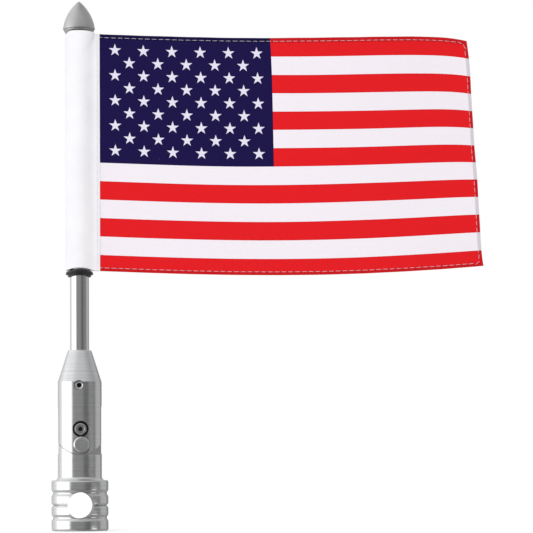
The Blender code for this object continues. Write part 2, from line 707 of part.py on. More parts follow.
def teardrop(radius, tip, tip_half):
    """An outline that goes round the pole and closes to a narrow end at X tip."""
    swing = math.degrees(math.acos((radius - tip_half) / (tip - SLEEVE_SHIFT)))
    end = [(tip, -tip_half), (tip, tip_half)] if tip_half else [(tip, 0)]
    return arc(radius, swing, 360 - swing, (SLEEVE_SHIFT, 0)) + end


def make_flag_sleeve(where, tools, finish):
    """The sewn sleeve round the pole, open at both ends and notched round the finial's underside."""
    outlines = [
        teardrop(SLEEVE_RADIUS, SEAM_X, SEAM_THICKNESS / 2),
        teardrop(SLEEVE_RADIUS - SLEEVE_WALL, SEAM_X - SEAM_OVERLAP, 0),
    ]
    foot = FLAG_FOOT + GAP
    sleeve = plate("flag_sleeve", where, outlines, FLAG_HEAD - foot, (0, 0, (foot + FLAG_HEAD) / 2))
    room = finial_outside(swell=2 * GAP)
    foot_room = -FINIAL_NECK - 2 * GAP
    room += [(POLE_RADIUS + 2 * GAP, foot_room), (0, foot_room)]
    cut(sleeve, turned("finial_room", tools, room, (0, 0, FINIAL_SHOULDER)))
    return dress(sleeve, finish)


def panel_point(u, v):
    """A point of the flag as it flies: u runs from hoist to fly, and v from foot to head."""
    sag = math.sin(math.pi * u)
    low = FLAG_FOOT - FOOT_SAG * sag + FOOT_RISE * u**4
    high = FLAG_HEAD - HEAD_SAG * sag - HEAD_DROP * u**16
    lean = 1 - 2 * v
    length = FLAG_LENGTH + FLY_SLANT * lean + FLY_CURL * lean**5
    ripple = RIPPLE * math.sin(math.tau * 1.15 * u + 0.8 * v)
    billow = FLY_BILLOW * math.sin(math.pi * 1.7 * (v - 0.5)) * u
    return Vector((SEAM_X + GAP + length * u, u * (ripple + billow), low + (high - low) * v))


def make_flag_panel(where, finish):
    """The printed panel, as one waving sheet."""
    mesh = bpy.data.meshes.new("flag_panel")
    made = bmesh.new()
    bmesh.ops.create_grid(made, x_segments=PANEL_COLUMNS, y_segments=PANEL_ROWS, size=0.5)
    for vert in made.verts:
        vert.co = panel_point(vert.co.x + 0.5, vert.co.y + 0.5)
    made.to_mesh(mesh)
    made.free()
    panel = place(bpy.data.objects.new("flag_panel", mesh), where)
    solid = panel.modifiers.new("cloth thickness", "SOLIDIFY")
    solid.thickness = PANEL_THICKNESS
    solid.offset = 0
    return dress(panel, finish)


# ================================================================ assembly


def main():
    """Builds the mount, with an empty on each joint's axis."""
    clear_scene()
    where = collection("rack_flag_mount")
    tools = collection("cutters", hidden=True)
    finish = {key: material(name, colour, rough, 1.0) for key, (name, colour, rough) in METAL.items()}
    rubber = material("black_rubber", (0.015, 0.015, 0.016), 0.45)
    sleeve_cloth = material("white_polyester", (0.86, 0.86, 0.88), 0.85)
    panel_cloth = material("printed_polyester", (0.72, 0.05, 0.05), 0.85)

    make_lower_barrel(where, tools, finish["brushed"])
    make_clamp_cap(where, tools, finish["brushed"])
    make_clamp_screw("clamp_screw_left", -1, where, tools, finish["steel"])
    make_clamp_screw("clamp_screw_right", 1, where, tools, finish["steel"])
    make_pivot_bushing(where, finish["bronze"])

    fold_axis = pivot_empty("fold_axis", where, (0, 0, PIVOT_HEIGHT))
    hang(
        fold_axis,
        make_upper_barrel(where, tools, finish["brushed"]),
        make_pivot_screw(where, tools, finish["steel"]),
        make_set_screw(where, tools, finish["steel"]),
        make_spring_plug(where, tools, finish["brushed"]),
        make_lock_spring(where, finish["steel"]),
        make_pole(where, finish["polished"]),
        make_finial(where, finish["brushed"]),
        make_finial_stud(where, finish["steel"]),
        make_stop_ring(where, rubber),
    )
    press_axis = pivot_empty("press_axis", where, lock_axis())
    hang(press_axis, make_lock_button(where, finish["brushed"]), make_lock_plunger(where, finish["steel"]))
    swing_axis = pivot_empty("swing_axis", where, (0, 0, FLAG_FOOT))
    hang(swing_axis, make_flag_sleeve(where, tools, sleeve_cloth), make_flag_panel(where, panel_cloth))
    hang(fold_axis, press_axis, swing_axis)


main()
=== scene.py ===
"""The looks of a small flag on a folding rail mount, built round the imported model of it.

Every length is in metres. +Z runs up the pole, +X points to the flag's fly, and the lock button faces -Y.
"""

import logging
import math
from collections.abc import Callable, Iterable, Sequence
from dataclasses import dataclass, field
from enum import Enum
from functools import cache

import bmesh
import bpy
from mathutils import Matrix, Vector


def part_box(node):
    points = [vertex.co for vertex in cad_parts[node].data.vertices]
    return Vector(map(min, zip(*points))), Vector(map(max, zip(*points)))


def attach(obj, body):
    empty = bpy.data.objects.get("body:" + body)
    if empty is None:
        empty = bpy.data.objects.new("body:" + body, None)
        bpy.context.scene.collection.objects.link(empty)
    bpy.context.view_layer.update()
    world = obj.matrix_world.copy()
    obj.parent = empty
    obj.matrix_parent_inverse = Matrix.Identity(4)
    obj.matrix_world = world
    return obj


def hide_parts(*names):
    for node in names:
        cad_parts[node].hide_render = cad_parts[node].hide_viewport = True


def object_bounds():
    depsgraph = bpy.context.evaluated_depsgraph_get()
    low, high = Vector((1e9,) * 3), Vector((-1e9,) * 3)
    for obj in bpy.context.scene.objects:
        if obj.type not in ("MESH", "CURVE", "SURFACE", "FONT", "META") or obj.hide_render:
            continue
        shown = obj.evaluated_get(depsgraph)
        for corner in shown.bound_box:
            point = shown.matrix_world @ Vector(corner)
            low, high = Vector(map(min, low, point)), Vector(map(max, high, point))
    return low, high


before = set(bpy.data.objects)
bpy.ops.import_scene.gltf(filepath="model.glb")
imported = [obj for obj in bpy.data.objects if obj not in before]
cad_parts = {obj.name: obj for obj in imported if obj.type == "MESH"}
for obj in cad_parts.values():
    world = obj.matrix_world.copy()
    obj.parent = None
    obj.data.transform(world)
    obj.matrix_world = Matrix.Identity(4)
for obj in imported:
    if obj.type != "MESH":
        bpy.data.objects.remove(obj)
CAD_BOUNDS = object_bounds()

log = logging.getLogger("rack_flag")

Point = tuple[float, float]
MM = 0.001
GAP = 0.3 * MM  # clearance between pieces that touch
FAR = 40 * MM  # how far a cutter runs past the metal that it cuts


class Body(str, Enum):
    """The bodies of the frame that pieces ride on."""

    CLAMP = "clamp"
    MAST = "mast"
    LOCK = "lock"
    FLAG = "flag"


class Facing(Enum):
    """Which way a turned piece's own +Z points."""

    UP = Matrix()
    DOWN = Matrix.Rotation(math.pi, 4, "X")
    FRONT = Matrix.Rotation(math.pi / 2, 4, "X")


# ================================================================ places taken from the frame


def middle(node: str) -> Vector:
    """Returns the centre of a frame node's box."""
    low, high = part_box(node)
    return (Vector(low) + Vector(high)) / 2


@cache
def height(node: str) -> Point:
    """Returns a frame node's lowest and highest Z."""
    low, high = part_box(node)
    return low[2], high[2]


# ================================================================ outlines


def arc(radius: float, start: float, end: float, centre: Point = (0.0, 0.0), count: int = 24) -> list[Point]:
    """Points along an arc, both ends included.

    Args:
        radius: The arc's radius.
        start: Its first angle, in degrees from the first axis.
        end: Its last angle.
        centre: Its centre.
        count: How many steps it has.

    Returns:
        The points, in order.
    """
    angles = (math.radians(start + (end - start) * i / count) for i in range(count + 1))
    return [(centre[0] + radius * math.cos(a), centre[1] + radius * math.sin(a)) for a in angles]


def eased(corners: Sequence[tuple[float, ...]], steps: int = 5) -> list[Point]:
    """Rounds the corners of an open outline.

    Args:
        corners: Each point as (x, y), or as (x, y, reach) to round it over that length on both sides.
        steps: How many short edges a round corner gets.

    Returns:
        The points of the rounded outline.
    """
    points: list[Point] = []
    for i, (x, y, *reach) in enumerate(corners):
        if not reach:
            points.append((x, y))
            continue
        here = Vector((x, y))
        before = Vector(corners[i - 1][:2]) - here
        after = Vector(corners[i + 1][:2]) - here
        length = min(reach[0], 0.49 * before.length, 0.49 * after.length)
        start = here + before.normalized() * length
        end = here + after.normalized() * length
        for step in range(steps + 1):
            t = step / steps
            spot = start * (1 - t) ** 2 + here * (2 * t * (1 - t)) + end * t**2
            points.append((spot.x, spot.y))
    return points


# ================================================================ meshes


def closed_mesh(
    name: str, verts: Iterable[Sequence[float]], faces: Iterable[Sequence[int]]
) -> bpy.types.Object:
    """Makes an object of a closed mesh, with its faces turned outwards.

    Args:
        name: The object's name.
        verts: The mesh's points.
        faces: The corners of each face.

    Returns:
        The new object, linked to the scene.
    """
    mesh = bpy.data.meshes.new(name)
    mesh.from_pydata([tuple(vert) for vert in verts], [], [tuple(face) for face in faces])
    made = bmesh.new()
    made.from_mesh(mesh)
    bmesh.ops.recalc_face_normals(made, faces=made.faces)
    made.to_mesh(mesh)
    made.free()
    piece = bpy.data.objects.new(name, mesh)
    bpy.context.scene.collection.objects.link(piece)
    return piece


def placed(
    piece: bpy.types.Object, at: Sequence[float] = (0, 0, 0), turn: Matrix | None = None
) -> bpy.types.Object:
    """Turns and moves the mesh itself, and leaves the object at the origin."""
    piece.data.transform(Matrix.Translation(Vector(at)) @ (turn or Matrix()))
    return piece


def turned(name: str, profile: Sequence[Point], sides: int = 192, ring: bool = False) -> bpy.types.Object:
    """Makes a turned solid about Z.

    Args:
        name: The object's name.
        profile: (radius, height) of each point down the outer side.
        sides: How many flats the round has.
        ring: Whether the profile is a closed loop.

    Returns:
        The new object.
    """
    verts: list[tuple[float, float, float]] = []
    rows: list[list[int]] = []
    for radius, level in profile:
        first = len(verts)
        if radius < 1e-7:
            verts.append((0.0, 0.0, level))
            rows.append([first] * sides)
            continue
        for i in range(sides):
            angle = math.tau * i / sides
            verts.append((radius * math.cos(angle), radius * math.sin(angle), level))
        rows.append(list(range(first, first + sides)))
    faces = []
    for high, low in zip(rows, rows[1:] + rows[:1] if ring else rows[1:]):
        for i in range(sides):
            j = (i + 1) % sides
            faces.append(tuple(dict.fromkeys((low[i], low[j], high[j], high[i]))))
    return closed_mesh(name, verts, faces)


def bar(name: str, radius: float, low: float, high: float, sides: int = 96) -> bpy.types.Object:
    """Makes a plain round or many-sided bar along Z, to cut with."""
    return turned(name, [(0, high), (radius, high), (radius, low), (0, low)], sides)


def slab(name: str, outline: Sequence[Point], near: float, far: float) -> bpy.types.Object:
    """Makes a solid from an outline drawn in XZ.

    Args:
        name: The object's name.
        outline: The outline's points.
        near: The solid's least Y.
        far: Its greatest Y.

    Returns:
        The new object.
    """
    count = len(outline)
    verts = [(x, near, z) for x, z in outline] + [(x, far, z) for x, z in outline]
    faces = [tuple(range(count)), tuple(range(2 * count - 1, count - 1, -1))]
    faces += [(i, (i + 1) % count, count + (i + 1) % count, count + i) for i in range(count)]
    return closed_mesh(name, verts, faces)


def evaluated(piece: bpy.types.Object) -> bpy.types.Mesh:
    """Returns a new mesh of a piece with its modifiers applied."""
    bpy.context.view_layer.update()
    graph = bpy.context.evaluated_depsgraph_get()
    mesh = bpy.data.meshes.new_from_object(piece.evaluated_get(graph))
    mesh.name = piece.name
    return mesh


def frozen(piece: bpy.types.Object) -> bpy.types.Object:
    """Turns a piece's modifiers into plain mesh, and returns the piece."""
    mesh = evaluated(piece)
    piece.modifiers.clear()
    piece.data = mesh
    return piece


def cut(piece: bpy.types.Object, *cutters: bpy.types.Object) -> bpy.types.Object:
    """Takes cutters out of a piece, and removes them.

    Args:
        piece: The piece to cut.
        *cutters: The solids to take out of it, in order.

    Returns:
        The piece, as plain mesh.
    """
    for cutter in cutters:
        boolean = piece.modifiers.new(cutter.name, "BOOLEAN")
        boolean.operation = "DIFFERENCE"
        boolean.solver = "EXACT"
        boolean.object = cutter
    frozen(piece)
    for cutter in cutters:
        bpy.data.objects.remove(cutter)
    return piece


def merged(piece: bpy.types.Object, distance: float = 0.02 * MM) -> bpy.types.Object:
    """Joins points that lie almost on each other, which cuts leave.

    Args:
        piece: The piece to mend.
        distance: How close the points lie.

    Returns:
        The piece.
    """
    made = bmesh.new()
    made.from_mesh(piece.data)
    bmesh.ops.remove_doubles(made, verts=made.verts, dist=distance)
    bmesh.ops.dissolve_degenerate(made, edges=made.edges, dist=distance / 2)
    made.to_mesh(piece.data)
    made.free()
    return piece


def smoothed(piece: bpy.types.Object, sharp: float = 30.0) -> bpy.types.Object:
    """Shades round faces smooth and keeps edges over that many degrees sharp."""
    piece.data.shade_smooth()
    piece.data.set_sharp_from_angle(angle=math.radians(sharp))
    return piece


def broken_edges(piece: bpy.types.Object, width: float) -> bpy.types.Object:
    """Takes the sharpness off machined edges with a fine round bevel.

    Args:
        piece: The machined piece.
        width: The bevel's width.

    Returns:
        The piece, as plain mesh.
    """
    piece.data.shade_smooth()
    bevel = piece.modifiers.new("broken edges", "BEVEL")
    bevel.width = width
    bevel.segments = 2
    bevel.limit_method = "ANGLE"
    bevel.angle_limit = math.radians(32)
    bevel.harden_normals = True
    bevel.use_clamp_overlap = True
    return frozen(piece)


# ================================================================ node trees


Value = float | bpy.types.NodeSocket


class Bench:
    """Adds nodes to one tree and joins them."""

    def __init__(self, tree: bpy.types.NodeTree) -> None:
        """Starts on an empty tree."""
        self.tree = tree
        tree.nodes.clear()

    def set(self, node: bpy.types.Node, inputs: dict) -> bpy.types.Node:
        """Sets or links a node's inputs.

        Args:
            node: The node.
            inputs: What each input, by name or index, is set or linked to.

        Returns:
            The node.
        """
        for key, value in inputs.items():
            if isinstance(value, bpy.types.NodeSocket):
                self.tree.links.new(value, node.inputs[key])
            else:
                node.inputs[key].default_value = value
        return node

    def add(self, kind: str, inputs: dict | None = None, **settings: object) -> bpy.types.Node:
        """Adds a node.

        Args:
            kind: The node's type.
            inputs: What each input, by name or index, is set or linked to.
            **settings: The node's own properties.

        Returns:
            The new node.
        """
        node = self.tree.nodes.new(kind)
        for name, value in settings.items():
            setattr(node, name, value)
        return self.set(node, inputs or {})

    def math(self, operation: str, *values: Value) -> bpy.types.NodeSocket:
        """Adds one Math node and returns its output."""
        return self.add("ShaderNodeMath", dict(enumerate(values)), operation=operation).outputs[0]

    def plus(self, first: Value, second: Value) -> bpy.types.NodeSocket:
        """Adds two values."""
        return self.math("ADD", first, second)

    def minus(self, first: Value, second: Value) -> bpy.types.NodeSocket:
        """Takes the second value from the first."""
        return self.math("SUBTRACT", first, second)

    def times(self, first: Value, second: Value) -> bpy.types.NodeSocket:
        """Multiplies two values."""
        return self.math("MULTIPLY", first, second)

    def squares(self, first: Value, second: Value) -> bpy.types.NodeSocket:
        """Returns the sum of two values' squares."""
        return self.plus(self.times(first, first), self.times(second, second))

    def ramp(self, value: Value, *span: float) -> bpy.types.NodeSocket:
        """Maps a value's span (low, high) onto (start, end), smoothly and clamped."""
        keys = ("From Min", "From Max", "To Min", "To Max")
        inputs = {"Value": value, **dict(zip(keys, span))}
        return self.add("ShaderNodeMapRange", inputs, interpolation_type="SMOOTHSTEP").outputs[0]

    def blend(self, share: Value, first: object, second: object, kind: str = "MIX") -> bpy.types.NodeSocket:
        """Mixes two colours and returns the result."""
        inputs = {0: share, 6: first, 7: second}
        return self.add("ShaderNodeMix", inputs, data_type="RGBA", blend_type=kind).outputs[2]

    def object_place(self) -> bpy.types.NodeSocket:
        """Returns the place in the piece's own coordinates."""
        return self.add("ShaderNodeTexCoord").outputs["Object"]

    def split(self, where: bpy.types.NodeSocket) -> Sequence[bpy.types.NodeSocket]:
        """Returns a place's three coordinates."""
        return self.add("ShaderNodeSeparateXYZ", {0: where}).outputs

    def noise(self, where: bpy.types.NodeSocket, scale: float, detail: float = 2.0) -> bpy.types.NodeSocket:
        """Adds a noise of one dimension if it is given a number, or of three if it is given a place."""
        size, key = ("1D", "W") if where.type == "VALUE" else ("3D", "Vector")
        inputs = {key: where, "Scale": scale, "Detail": detail}
        return self.add("ShaderNodeTexNoise", inputs, noise_dimensions=size).outputs[0]


def grey(level: float) -> tuple[float, float, float, float]:
    """Returns an even grey."""
    return (level, level, level, 1.0)


def shaded(colour: Sequence[float], share: float) -> tuple[float, float, float, float]:
    """Returns a colour made darker or lighter by a factor."""
    return (*(min(1.0, channel * share) for channel in colour[:3]), 1.0)


class Finish:
    """What every finish shares: a Principled shader that its own nodes feed."""

    name: str

    def make(self) -> bpy.types.Material:
        """Builds the material, or returns it if it is there already."""
        made = bpy.data.materials.get(self.name)
        if made:
            return made
        made = bpy.data.materials.new(self.name)
        made.use_nodes = True
        bench = Bench(made.node_tree)
        shader = bench.add("ShaderNodeBsdfPrincipled")
        output = bench.add("ShaderNodeOutputMaterial")
        made.node_tree.links.new(shader.outputs[0], output.inputs[0])
        self.feed(bench, shader)
        return made

    def feed(self, bench: Bench, shader: bpy.types.Node) -> None:
        """Sets and links the shader's inputs."""
        raise NotImplementedError

    @staticmethod
    def bump(bench: Bench, shader: bpy.types.Node, relief: Value, depth: float) -> None:
        """Gives the surface a fine relief of that depth."""
        node = bench.add("ShaderNodeBump", {"Height": relief, "Distance": depth, "Strength": 1.0})
        bench.set(shader, {"Normal": node.outputs[0]})

    @staticmethod
    def mottled(
        bench: Bench, grain: Value, span: Point, colour: Sequence[float], shades: Point
    ) -> bpy.types.NodeSocket:
        """Mottles a colour.

        Args:
            bench: The material's bench.
            grain: What the mottling follows.
            span: The grain's values where the colour is darkest and lightest.
            colour: The middle colour.
            shades: Its darkest and lightest shares.

        Returns:
            The mottled colour.
        """
        dark, light = (shaded(colour, share) for share in shades)
        return bench.blend(bench.ramp(grain, *span, 0.0, 1.0), dark, light)


@dataclass(frozen=True)
class TurnedMetal(Finish):
    """Bare metal with fine marks round its axis, from the lathe.

    Attributes:
        name: The material's name.
        colour: Its colour.
        roughness: How much it blurs what it reflects.
        axis: A point on the axis that the marks go round.
        facing: Which way that axis points.
        streak: How much the marks change the colour.
        anisotropic: How far highlights spread across the marks.
        painted_hole_shades: Holes along Y whose walls get painted shade, as x, z, radius and how much light
            is left in them.
    """

    name: str
    colour: tuple[float, float, float]
    roughness: float
    axis: tuple[float, float, float] = (0.0, 0.0, 0.0)
    facing: Facing = Facing.UP
    streak: float = 0.06
    anisotropic: float = 0.5
    painted_hole_shades: tuple[tuple[float, float, float, float], ...] = ()

    def feed(self, bench: Bench, shader: bpy.types.Node) -> None:
        """Draws the marks in colour, roughness and relief."""
        place = bench.object_place()
        spot = bench.split(self._centred(bench, place))
        radius = bench.math("SQRT", bench.squares(spot[0], spot[1]))
        along = bench.plus(spot[2], radius)
        fine = bench.noise(along, 5200.0, 1.0)
        broad = bench.noise(along, 950.0, 3.0)
        cloud = bench.noise(place, 260.0, 4.0)
        marks = bench.plus(bench.times(fine, 0.45), bench.times(broad, 0.55))
        metal = self.mottled(bench, marks, (0.3, 0.7), self.colour, (1 - self.streak, 1 + self.streak))
        # Painted shade: the walls inside each listed hole get a darker copy of the metal's colour.
        for shaded_hole in self.painted_hole_shades:
            metal = self._paint_hole_shade(bench, place, metal, shaded_hole)
        worn = bench.plus(bench.times(marks, 0.5), bench.times(cloud, 0.5))
        rough = bench.ramp(worn, 0.3, 0.7, 0.8 * self.roughness, 1.25 * self.roughness)
        bench.set(shader, {
            "Base Color": metal, "Roughness": rough, "Metallic": 1.0,
            "Anisotropic": self.anisotropic, "Anisotropic Rotation": 0.25,
        })
        self.bump(bench, shader, marks, 0.0016 * MM)

    def _paint_hole_shade(
        self, bench: Bench, place: bpy.types.NodeSocket, metal: bpy.types.NodeSocket, shaded_hole: tuple[float, ...]
    ) -> bpy.types.NodeSocket:
        """Paints the shade that falls inside one hole, as a darker copy of the metal's colour.

        Args:
            bench: The material's bench.
            place: The place on the piece.
            metal: The metal's colour so far.
            shaded_hole: The hole's x, z and radius, and how much light is left in it.

        Returns:
            The metal's colour with the painted shade.
        """
        x, z, radius, share = shaded_hole
        spot = bench.split(place)
        squares = bench.squares(bench.minus(spot[0], x), bench.minus(spot[2], z))
        inside = bench.math("LESS_THAN", squares, radius**2)
        return bench.blend(inside, metal, shaded(self.colour, share))

    def _centred(self, bench: Bench, place: bpy.types.NodeSocket) -> bpy.types.NodeSocket:
        """Returns coordinates whose Z runs along the piece's own axis."""
        turn = self.facing.value.inverted().to_euler()
        shift = -(self.facing.value.inverted() @ Vector(self.axis))
        inputs = {"Vector": place, "Location": shift, "Rotation": turn}
        return bench.add("ShaderNodeMapping", inputs, vector_type="POINT").outputs[0]


@dataclass(frozen=True)
class DarkScrew(Finish):
    """Dull screw steel, a little stained.

    Attributes:
        name: The material's name.
        colour: Its colour.
        roughness: How dull it is.
    """

    name: str
    colour: tuple[float, float, float]
    roughness: float

    def feed(self, bench: Bench, shader: bpy.types.Node) -> None:
        """Mottles the colour and the roughness."""
        place = bench.object_place()
        stain = bench.noise(place, 900.0, 4.0)
        colour = self.mottled(bench, stain, (0.35, 0.65), self.colour, (0.85, 1.12))
        rough = bench.ramp(stain, 0.3, 0.7, 0.8 * self.roughness, 1.2 * self.roughness)
        bench.set(shader, {"Base Color": colour, "Roughness": rough, "Metallic": 1.0})
        self.bump(bench, shader, bench.noise(place, 4200.0, 2.0), 0.004 * MM)


@dataclass(frozen=True)
class Rubber(Finish):
    """Black rubber with a slight gloss.

    Attributes:
        name: The material's name.
        colour: Its colour.
        roughness: How dull it is.
    """

    name: str = "ring rubber"
    colour: tuple[float, float, float] = (0.015, 0.015, 0.016)
    roughness: float = 0.3

    def feed(self, bench: Bench, shader: bpy.types.Node) -> None:
        """Gives it a faint moulded grain."""
        grain = bench.noise(bench.object_place(), 2600.0, 3.0)
        colour = self.mottled(bench, grain, (0.35, 0.7), self.colour, (0.8, 1.4))
        rough = bench.ramp(grain, 0.3, 0.7, 0.8 * self.roughness, 1.3 * self.roughness)
        bench.set(shader, {"Base Color": colour, "Roughness": rough})
        self.bump(bench, shader, grain, 0.01 * MM)


@dataclass(frozen=True)
class Woven(Finish):
    """Plain woven polyester. The UV map holds lengths along the cloth, in metres.

    Attributes:
        name: The material's name.
        colour: The cloth's colour.
        pitch: The distance from thread to thread.
    """

    name: str
    colour: tuple[float, float, float]
    pitch: float = 0.42 * MM

    def feed(self, bench: Bench, shader: bpy.types.Node) -> None:
        """Weaves the cloth, and lays its colour on it."""
        along, up = self.lengths(bench)
        weave = self.weave(bench, along, up)
        colour = self.coloured(bench, along, up)
        shadow = bench.ramp(weave, 0.0, 0.6, 0.9, 1.0)
        bench.set(shader, {
            "Base Color": bench.blend(1.0, colour, shadow, "MULTIPLY"), "Roughness": 0.82,
            "Specular IOR Level": 0.12, "Sheen Weight": 0.02, "Sheen Roughness": 0.5,
        })
        self.bump(bench, shader, weave, 0.05 * MM)

    @staticmethod
    def place(bench: Bench) -> bpy.types.NodeSocket:
        """Returns the place on the cloth."""
        return bench.add("ShaderNodeUVMap", uv_map="cloth").outputs[0]

    def lengths(self, bench: Bench) -> tuple[bpy.types.NodeSocket, bpy.types.NodeSocket]:
        """Returns the lengths along and up the cloth, in millimetres."""
        spot = bench.split(self.place(bench))
        return tuple(bench.times(spot[i], 1 / MM) for i in (0, 1))

    def weave(self, bench: Bench, along: Value, up: Value) -> bpy.types.NodeSocket:
        """Weaves threads over one and under the next.

        Args:
            bench: The material's bench.
            along: The length along the cloth.
            up: The length up the cloth.

        Returns:
            The height of the threads.
        """
        turn = math.pi * MM / self.pitch
        warp, weft = (bench.math("SINE", bench.times(length, turn)) for length in (along, up))
        crossing = bench.math("ABSOLUTE", bench.times(warp, weft))
        slub = bench.noise(self.place(bench), 700.0, 3.0)
        return bench.plus(bench.times(crossing, 0.7), bench.times(slub, 0.3))

    def coloured(self, bench: Bench, along: Value, up: Value) -> bpy.types.NodeSocket:
        """Returns the cloth's colour with slow, faint changes."""
        cloud = bench.noise(self.place(bench), 55.0, 2.0)
        return self.mottled(bench, cloud, (0.3, 0.7), self.colour, (0.975, 1.01))


@dataclass(frozen=True)
class FlagPrint(Woven):
    """Thirteen stripes and a canton of fifty stars, printed through the cloth, with lengths in millimetres.

    Attributes:
        red: The colour of the odd stripes.
        navy: The colour of the canton.
        star: The colour of the stars.
        first_stripe: The width of the stripe at the head.
        stripe: The width of the eleven stripes below it.
        cloth_height: The panel's height.
        cloth_length: The panel's length.
        canton_length: The canton's length from the hoist.
        star_column: The distance between stars in a row.
        star_row: The distance between rows.
        first_star: The first star's centre, from the hoist and from the head.
        star_radius: From a star's centre to its points.
        hem: How far in from the edge the folded hem reaches.
        hem_shade: How much light the folded hem's double cloth leaves.
    """

    red: tuple[float, float, float] = (0.725, 0.0098, 0.014)
    navy: tuple[float, float, float] = (0.0085, 0.0042, 0.062)
    star: tuple[float, float, float] = (0.74, 0.71, 0.84)
    first_stripe: float = 10.9
    stripe: float = 11.68
    cloth_height: float = 149.6
    cloth_length: float = 240.6
    canton_length: float = 110.3
    star_column: float = 18.25
    star_row: float = 8.0
    first_star: tuple[float, float] = (9.8, 9.0)
    star_radius: float = 4.1
    hem: float = 2.3
    hem_shade: float = 0.74

    def coloured(self, bench: Bench, along: Value, up: Value) -> bpy.types.NodeSocket:
        """Prints the stripes, the canton and the stars, and darkens the folded hem.

        Args:
            bench: The material's bench.
            along: The length from the hoist.
            up: The length from the foot.

        Returns:
            The cloth's colour.
        """
        down = bench.minus(self.cloth_height, up)
        stripe = bench.math("DIVIDE", bench.minus(down, self.first_stripe - self.stripe), self.stripe)
        phase = bench.math("PINGPONG", stripe, 1.0)
        # The phase is 0 and 1 at the stripes' edges, so the stripe's number tells red from white.
        number = bench.math("FLOOR", bench.math("MINIMUM", bench.math("MAXIMUM", stripe, 0.0), 12.0))
        is_red = bench.math("COMPARE", bench.math("MODULO", number, 2.0), 0.0, 0.5)
        edge = bench.math("MINIMUM", phase, bench.minus(1.0, phase))
        rim = bench.ramp(edge, 0.0, 0.05, 1.0, 0.0)
        red = bench.blend(rim, (*self.red, 1.0), shaded(self.red, 0.8))
        stripes = bench.blend(is_red, (*self.colour, 1.0), red)
        in_length = bench.math("LESS_THAN", along, self.canton_length)
        in_height = bench.math("LESS_THAN", down, self.first_stripe + 6 * self.stripe)
        stars = bench.blend(self._stars(bench, along, down), (*self.navy, 1.0), (*self.star, 1.0))
        printed = bench.blend(bench.times(in_length, in_height), stripes, stars)
        to_fly = bench.minus(self.cloth_length, along)
        to_edge = bench.math("MINIMUM", to_fly, bench.math("MINIMUM", up, down))
        folded = bench.ramp(to_edge, self.hem - 0.3, self.hem + 0.2, self.hem_shade, 1.0)
        return bench.blend(1.0, printed, folded, "MULTIPLY")

    def _stars(self, bench: Bench, along: Value, down: Value) -> bpy.types.NodeSocket:
        """Draws two lattices of stars, the second between the first.

        Args:
            bench: The material's bench.
            along: The length from the hoist.
            down: The length from the head.

        Returns:
            1 inside a star, and 0 outside.
        """
        x, y = (bench.minus(length, first) for length, first in zip((along, down), self.first_star))
        whole = self._lattice(bench, x, y)
        between = self._lattice(bench, bench.minus(x, self.star_column / 2), bench.minus(y, self.star_row))
        found = bench.math("MAXIMUM", whole, between)
        for value, last in ((x, 5 * self.star_column), (y, 8 * self.star_row)):
            found = bench.times(found, bench.math("GREATER_THAN", value, -self.star_radius))
            found = bench.times(found, bench.math("LESS_THAN", value, last + self.star_radius))
        return found

    def _lattice(self, bench: Bench, x: Value, y: Value) -> bpy.types.NodeSocket:
        """Draws one square lattice of stars, each with one point up.

        Args:
            bench: The material's bench.
            x: The length along from the lattice's first star.
            y: The length down from it.

        Returns:
            1 inside a star, and 0 outside.
        """
        cell_x, cell_y = (
            bench.minus(bench.math("FLOORED_MODULO", bench.plus(value, size / 2), size), size / 2)
            for value, size in ((x, self.star_column), (y, 2 * self.star_row))
        )
        reach = bench.math("SQRT", bench.squares(cell_x, cell_y))
        angle = bench.math("ARCTAN2", cell_x, bench.times(cell_y, -1.0))
        fifth = math.tau / 5
        turn = bench.math("FLOORED_MODULO", bench.plus(angle, fifth / 2), fifth)
        folded = bench.math("ABSOLUTE", bench.minus(turn, fifth / 2))
        # A star's edge is one straight line in each tenth of a turn, square to this direction.
        lean = bench.math("COSINE", bench.minus(folded, fifth))
        return bench.math("LESS_THAN", bench.times(reach, lean), self.star_radius * math.cos(fifth))


@dataclass(frozen=True)
class Thread(Finish):
    """White sewing thread.

    Attributes:
        name: The material's name.
        colour: Its colour.
        twist: The distance from one of its twists to the next.
    """

    name: str = "sewing thread"
    colour: tuple[float, float, float] = (0.74, 0.67, 0.76)
    twist: float = 0.35 * MM

    def feed(self, bench: Bench, shader: bpy.types.Node) -> None:
        """Twists the thread by fine slanting bands."""
        spot = bench.split(bench.object_place())
        bands = bench.math("SINE", bench.times(bench.plus(spot[0], spot[2]), math.tau / self.twist))
        bench.set(shader, {
            "Base Color": self.mottled(bench, bands, (-1.0, 1.0), self.colour, (0.9, 1.05)), "Roughness": 0.6,
        })
        self.bump(bench, shader, bands, 0.02 * MM)


ALUMINIUM = (0.77, 0.775, 0.785)
STEEL = (0.80, 0.80, 0.81)
SCREW_STEEL = (0.56, 0.56, 0.57)


# ================================================================ what repeats


def node_group(name: str, sizes: dict[str, str]) -> bpy.types.NodeTree:
    """Starts a Geometry Nodes tree.

    Args:
        name: The tree's name.
        sizes: Each named input, and its socket type.

    Returns:
        The tree, with its inputs and its output declared.
    """
    tree = bpy.data.node_groups.new(name, "GeometryNodeTree")
    tree.interface.new_socket("Geometry", in_out="INPUT", socket_type="NodeSocketGeometry")
    for label, kind in sizes.items():
        tree.interface.new_socket(label, in_out="INPUT", socket_type=kind)
    tree.interface.new_socket("Geometry", in_out="OUTPUT", socket_type="NodeSocketGeometry")
    return tree


